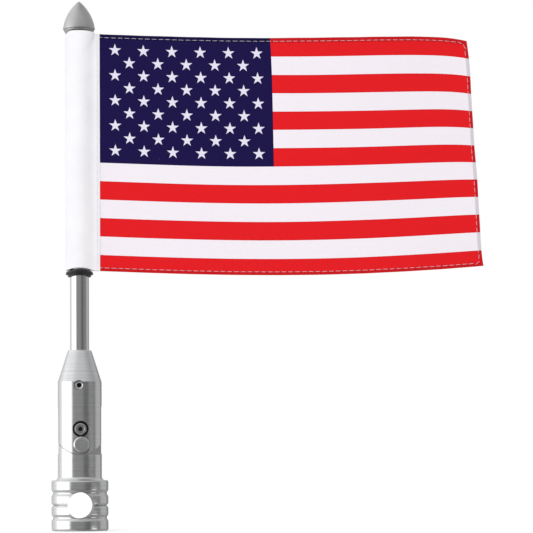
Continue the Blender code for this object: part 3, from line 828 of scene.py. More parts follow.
def grown(piece: bpy.types.Object, tree: bpy.types.NodeTree, values: dict[str, object]) -> bpy.types.Object:
    """Runs a tree on a piece and leaves plain mesh.

    Args:
        piece: The object whose geometry goes in.
        tree: The Geometry Nodes tree.
        values: What each named input is set to.

    Returns:
        A mesh object in the piece's place.
    """
    modifier = piece.modifiers.new(tree.name, "NODES")
    modifier.node_group = tree
    for item in tree.interface.items_tree:
        if item.item_type == "SOCKET" and item.in_out == "INPUT" and item.name in values:
            modifier[item.identifier] = values[item.name]
    mesh = evaluated(piece)
    name = piece.name
    bpy.data.objects.remove(piece)
    made = bpy.data.objects.new(name, mesh)
    bpy.context.scene.collection.objects.link(made)
    return made


def stitch_tree() -> bpy.types.NodeTree:
    """Lays stitches of thread along curves, end to end."""
    sizes = {
        "Pitch": "NodeSocketFloat",
        "Stitch Length": "NodeSocketFloat",
        "Thread Radius": "NodeSocketFloat",
        "Thread": "NodeSocketMaterial",
    }
    tree = node_group("stitches", sizes)
    bench = Bench(tree)
    given = bench.add("NodeGroupInput").outputs
    steps = bench.add("GeometryNodeResampleCurve", {"Curve": given["Geometry"]}, mode="LENGTH")
    tree.links.new(given["Pitch"], steps.inputs["Length"])
    half = bench.times(given["Stitch Length"], 0.5)
    thin = given["Thread Radius"]
    size = bench.add("ShaderNodeCombineXYZ", {0: thin, 1: thin, 2: half})
    bead = bench.add("GeometryNodeMeshUVSphere", {"Segments": 8, "Rings": 6, "Radius": 1.0})
    stitch = bench.add("GeometryNodeTransform", {"Geometry": bead.outputs[0], "Scale": size.outputs[0]})
    tangent = bench.add("GeometryNodeInputTangent")
    aim = bench.add("FunctionNodeAlignRotationToVector", {"Vector": tangent.outputs[0]}, axis="Z")
    laid = bench.add(
        "GeometryNodeInstanceOnPoints",
        {"Points": steps.outputs[0], "Instance": stitch.outputs[0], "Rotation": aim.outputs[0]},
    )
    real = bench.add("GeometryNodeRealizeInstances", {0: laid.outputs[0]})
    smooth = bench.add("GeometryNodeSetShadeSmooth", {"Geometry": real.outputs[0]})
    inputs = {"Geometry": smooth.outputs[0], "Material": given["Thread"]}
    dressed = bench.add("GeometryNodeSetMaterial", inputs)
    bench.add("NodeGroupOutput", {0: dressed.outputs[0]})
    return tree


def knurl_tree() -> bpy.types.NodeTree:
    """Sets fine ribs round a screw's head, which stands on Z."""
    sizes = {
        "Ribs": "NodeSocketInt",
        "Head Radius": "NodeSocketFloat",
        "Rib Length": "NodeSocketFloat",
        "Rib Radius": "NodeSocketFloat",
        "Rib Height": "NodeSocketFloat",
        "Metal": "NodeSocketMaterial",
    }
    tree = node_group("knurl", sizes)
    bench = Bench(tree)
    given = bench.add("NodeGroupInput").outputs
    inputs = {"Vertices": given["Ribs"], "Radius": given["Head Radius"]}
    circle = bench.add("GeometryNodeMeshCircle", inputs)
    size = {"Vertices": 6, "Radius": given["Rib Radius"], "Depth": given["Rib Length"]}
    rib = bench.add("GeometryNodeMeshCylinder", size).outputs[0]
    ribs = bench.add("GeometryNodeInstanceOnPoints", {"Points": circle.outputs[0], "Instance": rib})
    level = bench.add("ShaderNodeCombineXYZ", {2: given["Rib Height"]})
    inputs = {"Geometry": ribs.outputs[0], "Translation": level.outputs[0]}
    lifted = bench.add("GeometryNodeTransform", inputs)
    real = bench.add("GeometryNodeRealizeInstances", {0: lifted.outputs[0]})
    joined = bench.add("GeometryNodeJoinGeometry")
    tree.links.new(real.outputs[0], joined.inputs[0])
    tree.links.new(given["Geometry"], joined.inputs[0])
    inputs = {"Geometry": joined.outputs[0], "Material": given["Metal"]}
    dressed = bench.add("GeometryNodeSetMaterial", inputs)
    bench.add("NodeGroupOutput", {0: dressed.outputs[0]})
    return tree


# ================================================================ sub-assemblies


class Assembly:
    """What every sub-assembly shares."""

    def build(self) -> None:
        """Builds the sub-assembly's pieces."""
        raise NotImplementedError

    @staticmethod
    def fit(
        piece: bpy.types.Object, body: Body, slot: str, finish: Finish | None, *nodes: str
    ) -> bpy.types.Object:
        """Dresses a piece and puts it in the frame.

        Args:
            piece: The finished mesh.
            body: The body that it rides on.
            slot: The name of a material slot, which is not used.
            finish: Its finish, or None if it has its materials already.
            *nodes: The frame nodes that it stands for.

        Returns:
            The piece.
        """
        if finish:
            piece.data.materials.clear()
            piece.data.materials.append(finish.make())
        if nodes:
            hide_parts(*nodes)
        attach(piece, body.value)
        log.info("%s rides on %s: %d faces", piece.name, body.value, len(piece.data.polygons))
        return piece

    @staticmethod
    def repaint(node: str, finish: Finish) -> None:
        """Gives a frame node that stays a better finish."""
        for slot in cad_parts[node].material_slots:
            slot.material = finish.make()
        log.info("%s keeps its shape and takes %s", node, finish.name)


@dataclass
class Knuckle(Assembly):
    """The folding joint: the lower barrel's tongue between the upper barrel's ears, with its lock.

    Attributes:
        barrel_radius: The barrels' radius.
        tongue_thickness: The tongue's thickness along Y.
        tongue_radius: Half of the tongue's width, and the radius of its round top.
        ear_radius: The radius of the ears' round lower ends.
        lock_offset: From the pivot to the lock's axis.
        lock_lean: How far round from straight below the pivot the lock's axis lies, in degrees.
        slot_top: The top of the slot between the ears.
        fold: How far the knuckle folds, in degrees.
        bushing_hole: The radius of the tongue's hole for the bush.
        neck_hole: The radius of the lock's neck, and half of its track's width.
        collar_hole: The radius of the lock's collar, and half of its track's width.
        collar_depth: The depth of the collar's track.
        window_drop: From the pivot down to the foot of the collar's window.
        pivot_head: The radius of the pivot screw's head.
        pivot_head_height: Its height.
        pivot_bore: The radius of the pivot screw's bore.
        pivot_recess: The radius of the recess round its head.
        button_radius: The button's radius.
        cone_top_radius: The cone's radius at its top.
        cone_rise: From the set screw's axis up to the cone's foot.
        pole_hole: The radius of the pole's socket.
        set_screw_radius: The set screw's radius.
        set_screw_face: From the pole's axis to the set screw's outer end.
        set_screw_tip: From the pole's axis to its inner end.
        set_screw_hex: Its socket's width across the flats.
        set_screw_turn: How far round the pole it points, in degrees from the front.
        edge: The width of the bevel on machined edges.
        pivot: The pivot screw's middle.
        lock: The button's middle.
    """

    barrel_radius: float = 13.75 * MM
    tongue_thickness: float = 6.35 * MM
    tongue_radius: float = 13.2 * MM
    ear_radius: float = 15.8 * MM
    slot_top: float = 61.8 * MM
    lock_offset: float = 9.8 * MM
    lock_lean: float = 3.3
    fold: float = 90.0
    bushing_hole: float = 4.2 * MM
    neck_hole: float = 2.2 * MM
    collar_hole: float = 3.5 * MM
    collar_depth: float = 3.0 * MM
    window_drop: float = 6.0 * MM
    pivot_head: float = 3.75 * MM
    pivot_head_height: float = 4.7 * MM
    pivot_bore: float = 2.7 * MM
    pivot_recess: float = 5.0 * MM
    button_radius: float = 5.15 * MM
    cone_top_radius: float = 7.3 * MM
    cone_rise: float = 2.2 * MM
    pole_hole: float = 6.25 * MM
    set_screw_radius: float = 2.9 * MM
    set_screw_face: float = 12.6 * MM
    set_screw_tip: float = 6.25 * MM
    set_screw_hex: float = 2.9 * MM
    set_screw_turn: float = -4.4
    edge: float = 0.28 * MM
    pivot: Vector = field(default_factory=lambda: middle("pivot_screw"))
    lock: Vector = field(default_factory=lambda: middle("lock_button"))

    @property
    def seat(self) -> float:
        """The radius of the seat that the ears turn in."""
        return self.ear_radius + GAP

    @property
    def screw_facing(self) -> Matrix:
        """The turn that points the set screw."""
        return Matrix.Rotation(math.radians(self.set_screw_turn), 4, "Z") @ Facing.FRONT.value

    def about_pivot(self, outline: Iterable[Point]) -> list[Point]:
        """Moves an outline drawn round the pivot to its place."""
        return [(x, z + self.pivot.z) for x, z in outline]

    def track(self, half: float) -> list[Point]:
        """Returns the arc-shaped slot that the lock passes along as the pole folds."""
        start = self.lock_lean - 90
        end = start - self.fold
        first, *_, last = arc(self.lock_offset, start, end)
        outline = arc(self.lock_offset + half, start, end, count=48)
        outline += arc(half, end, end - 180, last, 20)[1:-1]
        outline += arc(self.lock_offset - half, end, start, count=48)
        outline += arc(half, start + 180, start, first, 20)[1:-1]
        return self.about_pivot(outline)

    def tongue_room(self) -> list[bpy.types.Object]:
        """Returns the cutters that leave the tongue of the lower barrel."""
        half = self.tongue_thickness / 2
        far = self.seat + FAR
        seat_end = -180 + math.degrees(math.asin(GAP / self.seat))
        relief = arc(self.seat, -90, seat_end, count=48)
        relief += [(-far, -GAP), (-far, far), (far, far), (far, -self.seat)]
        foot = -self.seat + 2 * GAP
        side = self.tongue_radius
        surround = [(side, foot), (far, foot), (far, far), (-far, far), (-far, foot), (-side, foot)]
        surround += arc(side, 180, 0, count=96)
        window = [
            (-far, self.pivot.z - self.window_drop), (-self.lock_offset, self.pivot.z - self.window_drop),
            (-self.lock_offset, self.pivot.z + self.collar_hole), (-far, self.pivot.z + self.collar_hole),
        ]
        floor = half - self.collar_depth
        hole = bar("bushing hole", self.bushing_hole, -FAR, FAR)
        return [
            slab("front ear room", self.about_pivot(relief), -far, -half),
            slab("rear ear room", self.about_pivot(relief), half, far),
            slab("tongue surround", self.about_pivot(surround), -far, far),
            placed(hole, (0, 0, self.pivot.z), Facing.FRONT.value),
            slab("neck track", self.track(self.neck_hole), -far, far),
            slab("collar track", self.track(self.collar_hole), floor, far),
            slab("collar window", window, floor, far),
        ]

    def upper_barrel(self) -> bpy.types.Object:
        """Makes the folding barrel with its ears, its cone and the pole's socket."""
        top = height("upper_barrel")[1]
        screw = middle("pole_set_screw")
        cone_foot = screw.z + self.cone_rise
        pole_foot = height("pole")[0] - GAP
        foot = self.pivot.z - self.seat
        radius = self.barrel_radius
        profile = eased([
            (0, top), (self.cone_top_radius, top, 0.8 * MM), (radius, cone_foot, 0.45 * MM),
            (radius, foot), (0, foot),
        ])
        body = turned("folding_barrel", profile, 256)
        half = self.tongue_thickness / 2 + GAP
        far = radius + FAR
        round_end = arc(self.ear_radius, -180, 0, count=128)
        under = [(-far, 0.0), *round_end, (far, 0.0), (far, -far), (-far, -far)]
        head_seat = -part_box("pivot_screw")[0][1] - self.pivot_head_height - GAP
        bore = self.pivot_bore
        room = [
            (0, far), (self.pivot_recess, far), (self.pivot_recess, head_seat),
            (bore, head_seat), (bore, -far), (0, -far),
        ]
        slot = [(-far, foot - FAR), (far, foot - FAR), (far, self.slot_top), (-far, self.slot_top)]
        at_lock = (self.lock.x, 0, self.lock.z)
        front = Facing.FRONT.value
        screw_hole = bar("set screw hole", self.set_screw_radius + GAP / 2, 3 * MM, far)
        placed(screw_hole, (0, 0, screw.z), self.screw_facing)
        cut(
            body,
            slab("ear rounding", self.about_pivot(under), -far, far),
            placed(turned("pivot screw room", room, 128), (0, 0, self.pivot.z), front),
            placed(bar("button hole", self.button_radius + GAP / 2, 0, far, 128), at_lock, front),
            placed(bar("collar bore", self.collar_hole, -far, 0), at_lock, front),
            bar("pole socket", self.pole_hole, pole_foot, top + FAR, 128),
            screw_hole,
            slab("tongue slot", slot, -half, half),
        )
        return broken_edges(merged(body), self.edge)

    def build(self) -> None:
        """Builds the folding half with its screws, its plug and the lock button."""
        screw = middle("pole_set_screw")
        # Painted shade inside the pivot screw's recess and inside the button's hole.
        painted_hole_shades = (
            (self.pivot.x, self.pivot.z, self.pivot_recess + 0.03 * MM, 0.06),
            (self.lock.x, self.lock.z, self.button_radius + GAP, 0.1),
        )
        metal = TurnedMetal("barrel aluminium", ALUMINIUM, 0.2, painted_hole_shades=painted_hole_shades)
        self.fit(self.upper_barrel(), Body.MAST, "brushed_aluminium", metal, "upper_barrel")
        # Painted shade inside the set screw's hex socket.
        socket = ((screw.x, screw.z, 1.4 * MM, 0.03),)
        bright = TurnedMetal("bright screw steel", STEEL, 0.22, streak=0.02, painted_hole_shades=socket)
        self.fit(self.set_screw(), Body.MAST, "screw_steel", bright, "pole_set_screw")
        self.fit(self.pivot_screw(), Body.MAST, "screw_steel", None, "pivot_screw")
        plug, button = self.faced("plug aluminium", 0.3), self.faced("button aluminium", 0.27)
        self.fit(self.plug(), Body.MAST, "brushed_aluminium", plug, "spring_plug")
        self.fit(self.button(), Body.LOCK, "brushed_aluminium", button, "lock_button")
        front = Facing.FRONT
        plunger = TurnedMetal("plunger steel", STEEL, 0.25, tuple(self.lock), front)
        bronze = TurnedMetal("bush bronze", (0.6, 0.42, 0.2), 0.35, tuple(self.pivot), front)
        self.repaint("lock_plunger", plunger)
        self.repaint("lock_spring", DarkScrew("spring steel", (0.5, 0.5, 0.52), 0.3))
        self.repaint("pivot_bushing", bronze)

    def screw_finish(self) -> Finish:
        """Returns the finish of the clamp's screws."""
        return DarkScrew("screw steel", SCREW_STEEL, 0.32)

    def faced(self, name: str, roughness: float) -> Finish:
        """Returns a finish with marks round the lock's axis, as facing leaves."""
        colour = shaded(ALUMINIUM, 0.95)[:3]
        return TurnedMetal(name, colour, roughness, tuple(self.lock), Facing.FRONT, 0.08, 0.0)

    def pivot_screw(self) -> bpy.types.Object:
        """Makes the socket-head screw that the knuckle turns on."""
        low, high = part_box("pivot_screw")
        # Painted shade inside the pivot screw's hex socket.
        socket = ((self.pivot.x, self.pivot.z, 1.35 * MM, 0.05),)
        steel = TurnedMetal(
            "pivot screw steel", (0.68, 0.68, 0.69), 0.2, tuple(self.pivot), Facing.FRONT, 0.03, painted_hole_shades=socket
        )
        screw = SocketScrew(
            head=self.pivot_head, head_height=self.pivot_head_height, shank=2.4 * MM,
            hex_width=2.7 * MM, depth=2.35 * MM, crown=0.6 * MM, heel=0.15 * MM,
        ).made("knuckle_pivot_screw", -low[1], -high[1], steel)
        return placed(screw, (0, 0, self.pivot.z), Facing.FRONT.value)

    def set_screw(self) -> bpy.types.Object:
        """Makes the headless screw that grips the pole."""
        face, tip = self.set_screw_face, self.set_screw_tip
        radius = self.set_screw_radius
        profile = eased([
            (0, face), (radius - 1.1 * MM, face, 0.1 * MM), (radius, face - 0.8 * MM, 0.2 * MM),
            (radius, tip, 0.6 * MM), (0, tip),
        ])
        screw = turned("pole_grub_screw", profile, 96)
        cut(screw, bar("hex", self.set_screw_hex / math.sqrt(3), face - 2.5 * MM, face + FAR, 6))
        smoothed(merged(screw))
        return placed(screw, (0, 0, middle("pole_set_screw").z), self.screw_facing)

    def plug(self) -> bpy.types.Object:
        """Makes the slotted plug at the back that the spring presses on."""
        low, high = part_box("spring_plug")
        radius = (high[0] - low[0]) / 2
        face, inside = high[1], low[1]
        profile = eased([
            (0, -inside), (radius, -inside, 0.15 * MM), (radius, -face, 0.25 * MM), (0, -face),
        ])
        at = (self.lock.x, 0, self.lock.z)
        plug = placed(turned("lock_spring_plug", profile, 96), at, Facing.FRONT.value)
        half = 0.45 * MM
        level = self.lock.z
        slot = [(-FAR, level - half), (FAR, level - half), (FAR, level + half), (-FAR, level + half)]
        return smoothed(merged(cut(plug, slab("slot", slot, face - 0.9 * MM, face + FAR))))

    def button(self) -> bpy.types.Object:
        """Makes the lock button, with a bright chamfer round a faced end."""
        low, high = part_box("lock_button")
        face, back = -low[1], -high[1]
        radius = self.button_radius
        hole = self.neck_hole
        profile = eased([
            (0, face), (radius - 0.9 * MM, face, 0.12 * MM), (radius, face - 0.9 * MM, 0.15 * MM),
            (radius, back, 0.3 * MM), (hole, back), (hole, back + 3.3 * MM), (0, back + 3.3 * MM),
        ])
        at = (self.lock.x, 0, self.lock.z)
        button = placed(turned("lock_push_button", profile, 128), at, Facing.FRONT.value)
        return smoothed(button)


@dataclass(frozen=True)
class SocketScrew:
    """A socket-head screw with a knurled head.

    Attributes:
        head: The head's radius.
        head_height: Its height.
        shank: The shank's radius.
        hex_width: The socket's width across its flats.
        depth: The socket's depth.
        crown: How round the head's upper edge is.
        heel: How round its lower edge is.
        countersink: The depth of the bright cone at the socket's mouth.
        ribs: How many ribs the knurl has.
        rib_radius: Each rib's radius.
        rib_length: Its length.
        rib_drop: From the head's face down to the ribs' middle.
    """

    head: float
    head_height: float
    shank: float
    hex_width: float
    depth: float
    crown: float
    heel: float
    countersink: float = 1.45 * MM
    ribs: int = 42
    rib_radius: float = 0.16 * MM
    rib_length: float = 2.9 * MM
    rib_drop: float = 2.35 * MM

    def made(self, name: str, face: float, tip: float, finish: Finish) -> bpy.types.Object:
        """Makes the screw on its own Z, head up.

        Args:
            name: The piece's name.
            face: How high the head's face is.
            tip: How high the shank's end is.
            finish: The screw's finish.

        Returns:
            The screw.
        """
        neck = face - self.head_height
        profile = eased([
            (0, face), (self.head, face, self.crown), (self.head, neck, self.heel), (self.shank, neck),
            (self.shank, tip, 0.3 * MM), (0, tip),
        ])
        screw = turned(name, profile, 128)
        mouth = self.hex_width / math.sqrt(3)
        deep = face - self.countersink
        sink = [(0, face + MM), (mouth + 2.2 * MM, face + MM), (mouth - 0.25 * MM, deep), (0, deep)]
        cut(screw, bar("hex", mouth, face - self.depth, face + FAR, 6), turned("countersink", sink, 96))
        smoothed(merged(screw))
        values = {
            "Ribs": self.ribs, "Head Radius": self.head - 0.03 * MM, "Rib Length": self.rib_length,
            "Rib Radius": self.rib_radius, "Rib Height": face - self.rib_drop, "Metal": finish.make(),
        }
        return grown(screw, bpy.data.node_groups["knurl"], values)


@dataclass
class Clamp(Assembly):
    """The split clamp on the rail, in one piece with the lower barrel, and its cap and screws.

    Attributes:
        radius: The clamp's outer radius.
        bore: The rail bore's radius.
        groove_level: How far above and below the split the two grooves lie.
        groove_half: Half of a groove's width at the surface.
        groove_floor: Half of its width at its floor.
        groove_depth: Its depth.
        edge: The reach of the round edge at the foot and at the top.
        split: Half of the gap between the two halves.
        split_chamfer: The chamfer on both sides of the split.
        fillet: The radius of the fillet under the lower barrel.
        top: The height of the clamp's top.
        screw_offset: From the middle to each screw's axis.
        screw_head: The radius of a screw's head.
        head_height: The head's height.
        head_seat: From the clamp's foot up to the seat of the heads.
        screw_shank: The radius of a screw's shank.
        tapped_hole: The radius of a tapped hole.
        tapped_top: The height that the tapped holes reach.
        broken: The width of the bevel on machined edges.
    """

    knuckle: Knuckle
    radius: float = 17.8 * MM
    bore: float = 8.3 * MM
    groove_level: float = 7.65 * MM
    groove_half: float = 1.8 * MM
    groove_floor: float = 0.6 * MM
    groove_depth: float = 0.95 * MM
    edge: float = 1.7 * MM
    split: float = 0.05 * MM
    split_chamfer: float = 1.1 * MM
    fillet: float = 2.3 * MM
    top: float = 15.6 * MM
    screw_offset: float = 13.0 * MM
    screw_head: float = 3.4 * MM
    head_height: float = 4.0 * MM
    head_seat: float = 4.6 * MM
    screw_shank: float = 2.0 * MM
    tapped_hole: float = 2.3 * MM
    tapped_top: float = 11.3 * MM
    broken: float = 0.12 * MM

    def groove(self, level: float) -> list[tuple[float, ...]]:
        """Returns a groove's corners, from its upper edge down."""
        floor = self.radius - self.groove_depth
        return [
            (self.radius, level + self.groove_half, 0.5 * MM), (floor, level + self.groove_floor, 0.4 * MM),
            (floor, level - self.groove_floor, 0.4 * MM), (self.radius, level - self.groove_half, 0.5 * MM),
        ]

    def rail_room(self) -> bpy.types.Object:
        """Returns the cutter of the rail bore."""
        return placed(bar("rail room", self.bore, -FAR, FAR, 160), turn=Facing.FRONT.value)

    def lower_barrel(self) -> bpy.types.Object:
        """Makes the fixed barrel with its tongue and the clamp's upper half."""
        barrel = self.knuckle.barrel_radius
        top = height("lower_barrel")[1] + GAP
        centre = (barrel + self.fillet, self.top + self.fillet)
        profile: list[Point] = [(0, top), (barrel, top)]
        profile += arc(self.fillet, 180, 250, centre, 12)
        profile += eased([
            profile[-1], (self.radius, self.top, self.edge), *self.groove(self.groove_level),
            (self.radius, self.split + self.split_chamfer, 0.35 * MM),
            (self.radius - self.split_chamfer, self.split, 0.2 * MM), (0, self.split),
        ])[1:]
        body = turned("clamp_and_lower_barrel", profile, 256)
        tapped = [
            placed(bar("tapped hole", self.tapped_hole, -FAR, self.tapped_top, 64), (x, 0, 0))
            for x in (-self.screw_offset, self.screw_offset)
        ]
        cut(body, self.rail_room(), *tapped, *self.knuckle.tongue_room())
        return broken_edges(merged(body), self.broken)

    def cap(self) -> bpy.types.Object:
        """Makes the clamp's lower half, with counterbored holes for the two screws."""
        foot = height("clamp_cap")[0]
        profile = eased([
            (0, -self.split), (self.radius - self.split_chamfer, -self.split, 0.2 * MM),
            (self.radius, -self.split - self.split_chamfer, 0.35 * MM), *self.groove(-self.groove_level),
            (self.radius, foot, self.edge), (0, foot),
        ])
        body = turned("clamp_lower_half", profile, 256)
        cut(body, self.rail_room())
        seat = foot + self.head_seat
        for side in (-1, 1):
            at = (side * self.screw_offset, 0, 0)
            cut(
                body,
                placed(bar("screw hole", self.screw_shank + GAP, -FAR, FAR, 64), at),
                placed(bar("head hole", self.screw_head + GAP, foot - FAR, seat, 96), at),
            )
        return broken_edges(merged(body), self.broken)

    def screw(self, node: str) -> bpy.types.Object:
        """Makes one clamp screw, head down."""
        low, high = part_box(node)
        screw = SocketScrew(
            head=self.screw_head, head_height=self.head_height, shank=self.screw_shank,
            hex_width=3.0 * MM, depth=2.0 * MM, crown=0.35 * MM, heel=0.1 * MM,
        )
        name = f"clamp_socket_screw_{node.removeprefix('clamp_screw_')}"
        made = screw.made(name, -low[2], -high[2], self.knuckle.screw_finish())
        return placed(made, (middle(node).x, 0, 0), Facing.DOWN.value)

    def build(self) -> None:
        """Builds the clamp's two halves and its screws."""
        # Painted shade inside the rail bore.
        painted_hole_shades = ((0.0, 0.0, self.bore + 0.03 * MM, 0.12),)
        metal = TurnedMetal("clamp aluminium", ALUMINIUM, 0.2, painted_hole_shades=painted_hole_shades)
        self.fit(self.lower_barrel(), Body.CLAMP, "brushed_aluminium", metal, "lower_barrel")
        self.fit(self.cap(), Body.CLAMP, "brushed_aluminium", metal, "clamp_cap")
        for node in ("clamp_screw_left", "clamp_screw_right"):
            self.fit(self.screw(node), Body.CLAMP, "screw_steel", None, node)


@dataclass
class Mast(Assembly):
    """The pole, its pointed finial and the rubber ring that stops the flag.

    Attributes:
        pole_radius: The pole's radius.
        finial_radius: The finial's widest radius.
        finial_neck: From the finial's foot up to its widest edge.
        tip_radius: The radius of its blunt tip.
        arc_drop: How far below the widest edge the flank's arc is centred.
        underside: How far in from the widest edge (mm), and how far down the neck (a share), each point lies.
        stud_hole: The radius of the stud's holes.
        stud_depth: The depth of the pole's hole for the stud.
        ring_bend: How far the ring bends down at its sides.
        ring_half: How far out the ring's sides lie.
        ring_bead: The height of the ring's bead.
        ring_thickness: The bead's thickness.
        ring_lip: The thickness of the lip below it.
    """

    pole_radius: float = 5.95 * MM
    finial_radius: float = 10.1 * MM
    finial_neck: float = 6.3 * MM
    tip_radius: float = 1.0 * MM
    arc_drop: float = 3.8 * MM
    underside: tuple[Point, ...] = ((0.8, 0.11), (0.85, 0.16), (0.55, 0.2), (2.2, 0.58), (3.5, 0.85))
    stud_hole: float = 2.7 * MM
    stud_depth: float = 10.8 * MM
    ring_bend: float = 1.3 * MM
    ring_half: float = 8.3 * MM
    ring_bead: float = 2.6 * MM
    ring_thickness: float = 2.35 * MM
    ring_lip: float = 1.15 * MM

    def pole(self) -> bpy.types.Object:
        """Makes the polished pole."""
        low, high = height("pole")
        radius = self.pole_radius
        hole_foot = high - self.stud_depth
        profile = eased([
            (0, hole_foot), (self.stud_hole, hole_foot), (self.stud_hole, high), (radius, high, 0.4 * MM),
            (radius, low, 0.4 * MM), (0, low),
        ])
        return smoothed(turned("polished_pole", profile, 192))

    def finial(self) -> bpy.types.Object:
        """Makes the finial: an arched flank down to a crisp shoulder, and a grooved cone under it."""
        foot, top = height("finial")
        shoulder = foot + self.finial_neck
        rise = top - shoulder - 0.45 * self.tip_radius
        wide, tip, drop = self.finial_radius, self.tip_radius, self.arc_drop
        centre = (tip**2 + (rise + drop) ** 2 - wide**2 - drop**2) / (2 * (tip - wide))
        start = math.degrees(math.atan2(rise + drop, tip - centre))
        end = math.degrees(math.atan2(drop, wide - centre))
        flank = arc(math.hypot(wide - centre, drop), start, end, (centre, shoulder - drop), 64)
        cap = [
            (tip * math.sin(a), top - 0.45 * tip * (1 - math.cos(a)) / (1 - math.cos(1.2)))
            for a in (0.0, 0.25, 0.5, 0.75, 1.0)
        ]
        edge = 0.25 * MM
        under = [
            (wide - inward * MM, shoulder - self.finial_neck * share)
            for inward, share in self.underside
        ]
        under.append((self.pole_radius, foot))
        hole_top = height("finial_stud")[1] + GAP
        profile = cap + flank[1:-1]
        corner = (wide - 0.05 * MM, shoulder - edge, edge / 3)
        profile += eased([flank[-2], (wide, shoulder, edge), corner, under[0]])[1:-1]
        profile += under + [(self.stud_hole, foot), (self.stud_hole, hole_top), (0, hole_top)]
        return smoothed(turned("pointed_finial", profile, 256), 40)

    def ring(self) -> bpy.types.Object:
        """Makes the rubber ring: a fat bead over a thin lip, bent down at both sides."""
        inside = self.pole_radius + 0.1 * MM
        foot, top = height("flag_stop_ring")
        neck = top - self.ring_bead
        half = self.ring_thickness / 2 + 0.1 * MM
        turns = arc(1, 170, -80, count=32)
        bead = [(inside + half + half * x, top + self.ring_bead / 2 * (z - 1)) for x, z in turns]
        lip = inside + self.ring_lip
        loop = bead + [(lip, neck - 0.1 * MM), (lip, foot + GAP), (lip - GAP, foot), (inside, foot)]
        ring = turned("rubber_stop_ring", loop, 128, ring=True)
        for vertex in ring.data.vertices:
            vertex.co.z += 0.3 * MM - self.ring_bend * (vertex.co.x / self.ring_half) ** 2
        ring.data.update()
        return smoothed(ring, 50)

    def build(self) -> None:
        """Builds the pole, the finial and the ring."""
        polished = TurnedMetal("polished steel", STEEL, 0.12, streak=0.02, anisotropic=0.3)
        self.fit(self.pole(), Body.MAST, "polished_steel", polished, "pole")
        finial = TurnedMetal("finial aluminium", (0.6, 0.6, 0.605), 0.44, streak=0.03, anisotropic=0.0)
        self.fit(self.finial(), Body.MAST, "brushed_aluminium", finial, "finial")
        self.fit(self.ring(), Body.MAST, "black_rubber", Rubber(), "flag_stop_ring")
        self.repaint("finial_stud", DarkScrew("stud steel", SCREW_STEEL, 0.35))


def cloth(
    name: str, grid: list[list[Vector]], lengths: list[list[Point]], thick: Callable[[int, int], float]
) -> bpy.types.Object:
    """Makes a closed cloth of two faces and a rim from a grid of its middle surface.

    Args:
        name: The object's name.
        grid: Rows of points of the middle surface.
        lengths: The length along and up the cloth at each point, for its UV map.
        thick: Gives the cloth's thickness at a row and a column.

    Returns:
        The new object, with the UV map "cloth".
    """
    rows, columns = len(grid), len(grid[0])
    verts: list[Vector] = []
    for side in (-0.5, 0.5):
        for i in range(rows):
            for j in range(columns):
                along = grid[i][min(j + 1, columns - 1)] - grid[i][max(j - 1, 0)]
                up = grid[min(i + 1, rows - 1)][j] - grid[max(i - 1, 0)][j]
                verts.append(grid[i][j] + up.cross(along).normalized() * (side * thick(i, j)))
    layer = rows * columns
    faces = []
    for base, flip in ((0, False), (layer, True)):
        for i in range(rows - 1):
            for j in range(columns - 1):
                first = base + i * columns + j
                face = (first, first + 1, first + columns + 1, first + columns)
                faces.append(face[::-1] if flip else face)
    rim = list(range(columns)) + [i * columns + columns - 1 for i in range(1, rows)]
    rim += [(rows - 1) * columns + j for j in range(columns - 2, -1, -1)]
    rim += [i * columns for i in range(rows - 2, 0, -1)]
    faces += [(a, layer + a, layer + b, b) for a, b in zip(rim, rim[1:] + rim[:1])]
    piece = closed_mesh(name, verts, faces)
    flat = [spot for row in lengths for spot in row]
    layer_uv = piece.data.uv_layers.new(name="cloth")
    for loop in piece.data.loops:
        layer_uv.data[loop.index].uv = flat[loop.vertex_index % layer]
    piece.data.shade_smooth()
    piece.data.set_sharp_from_angle(angle=math.radians(60))
    return piece


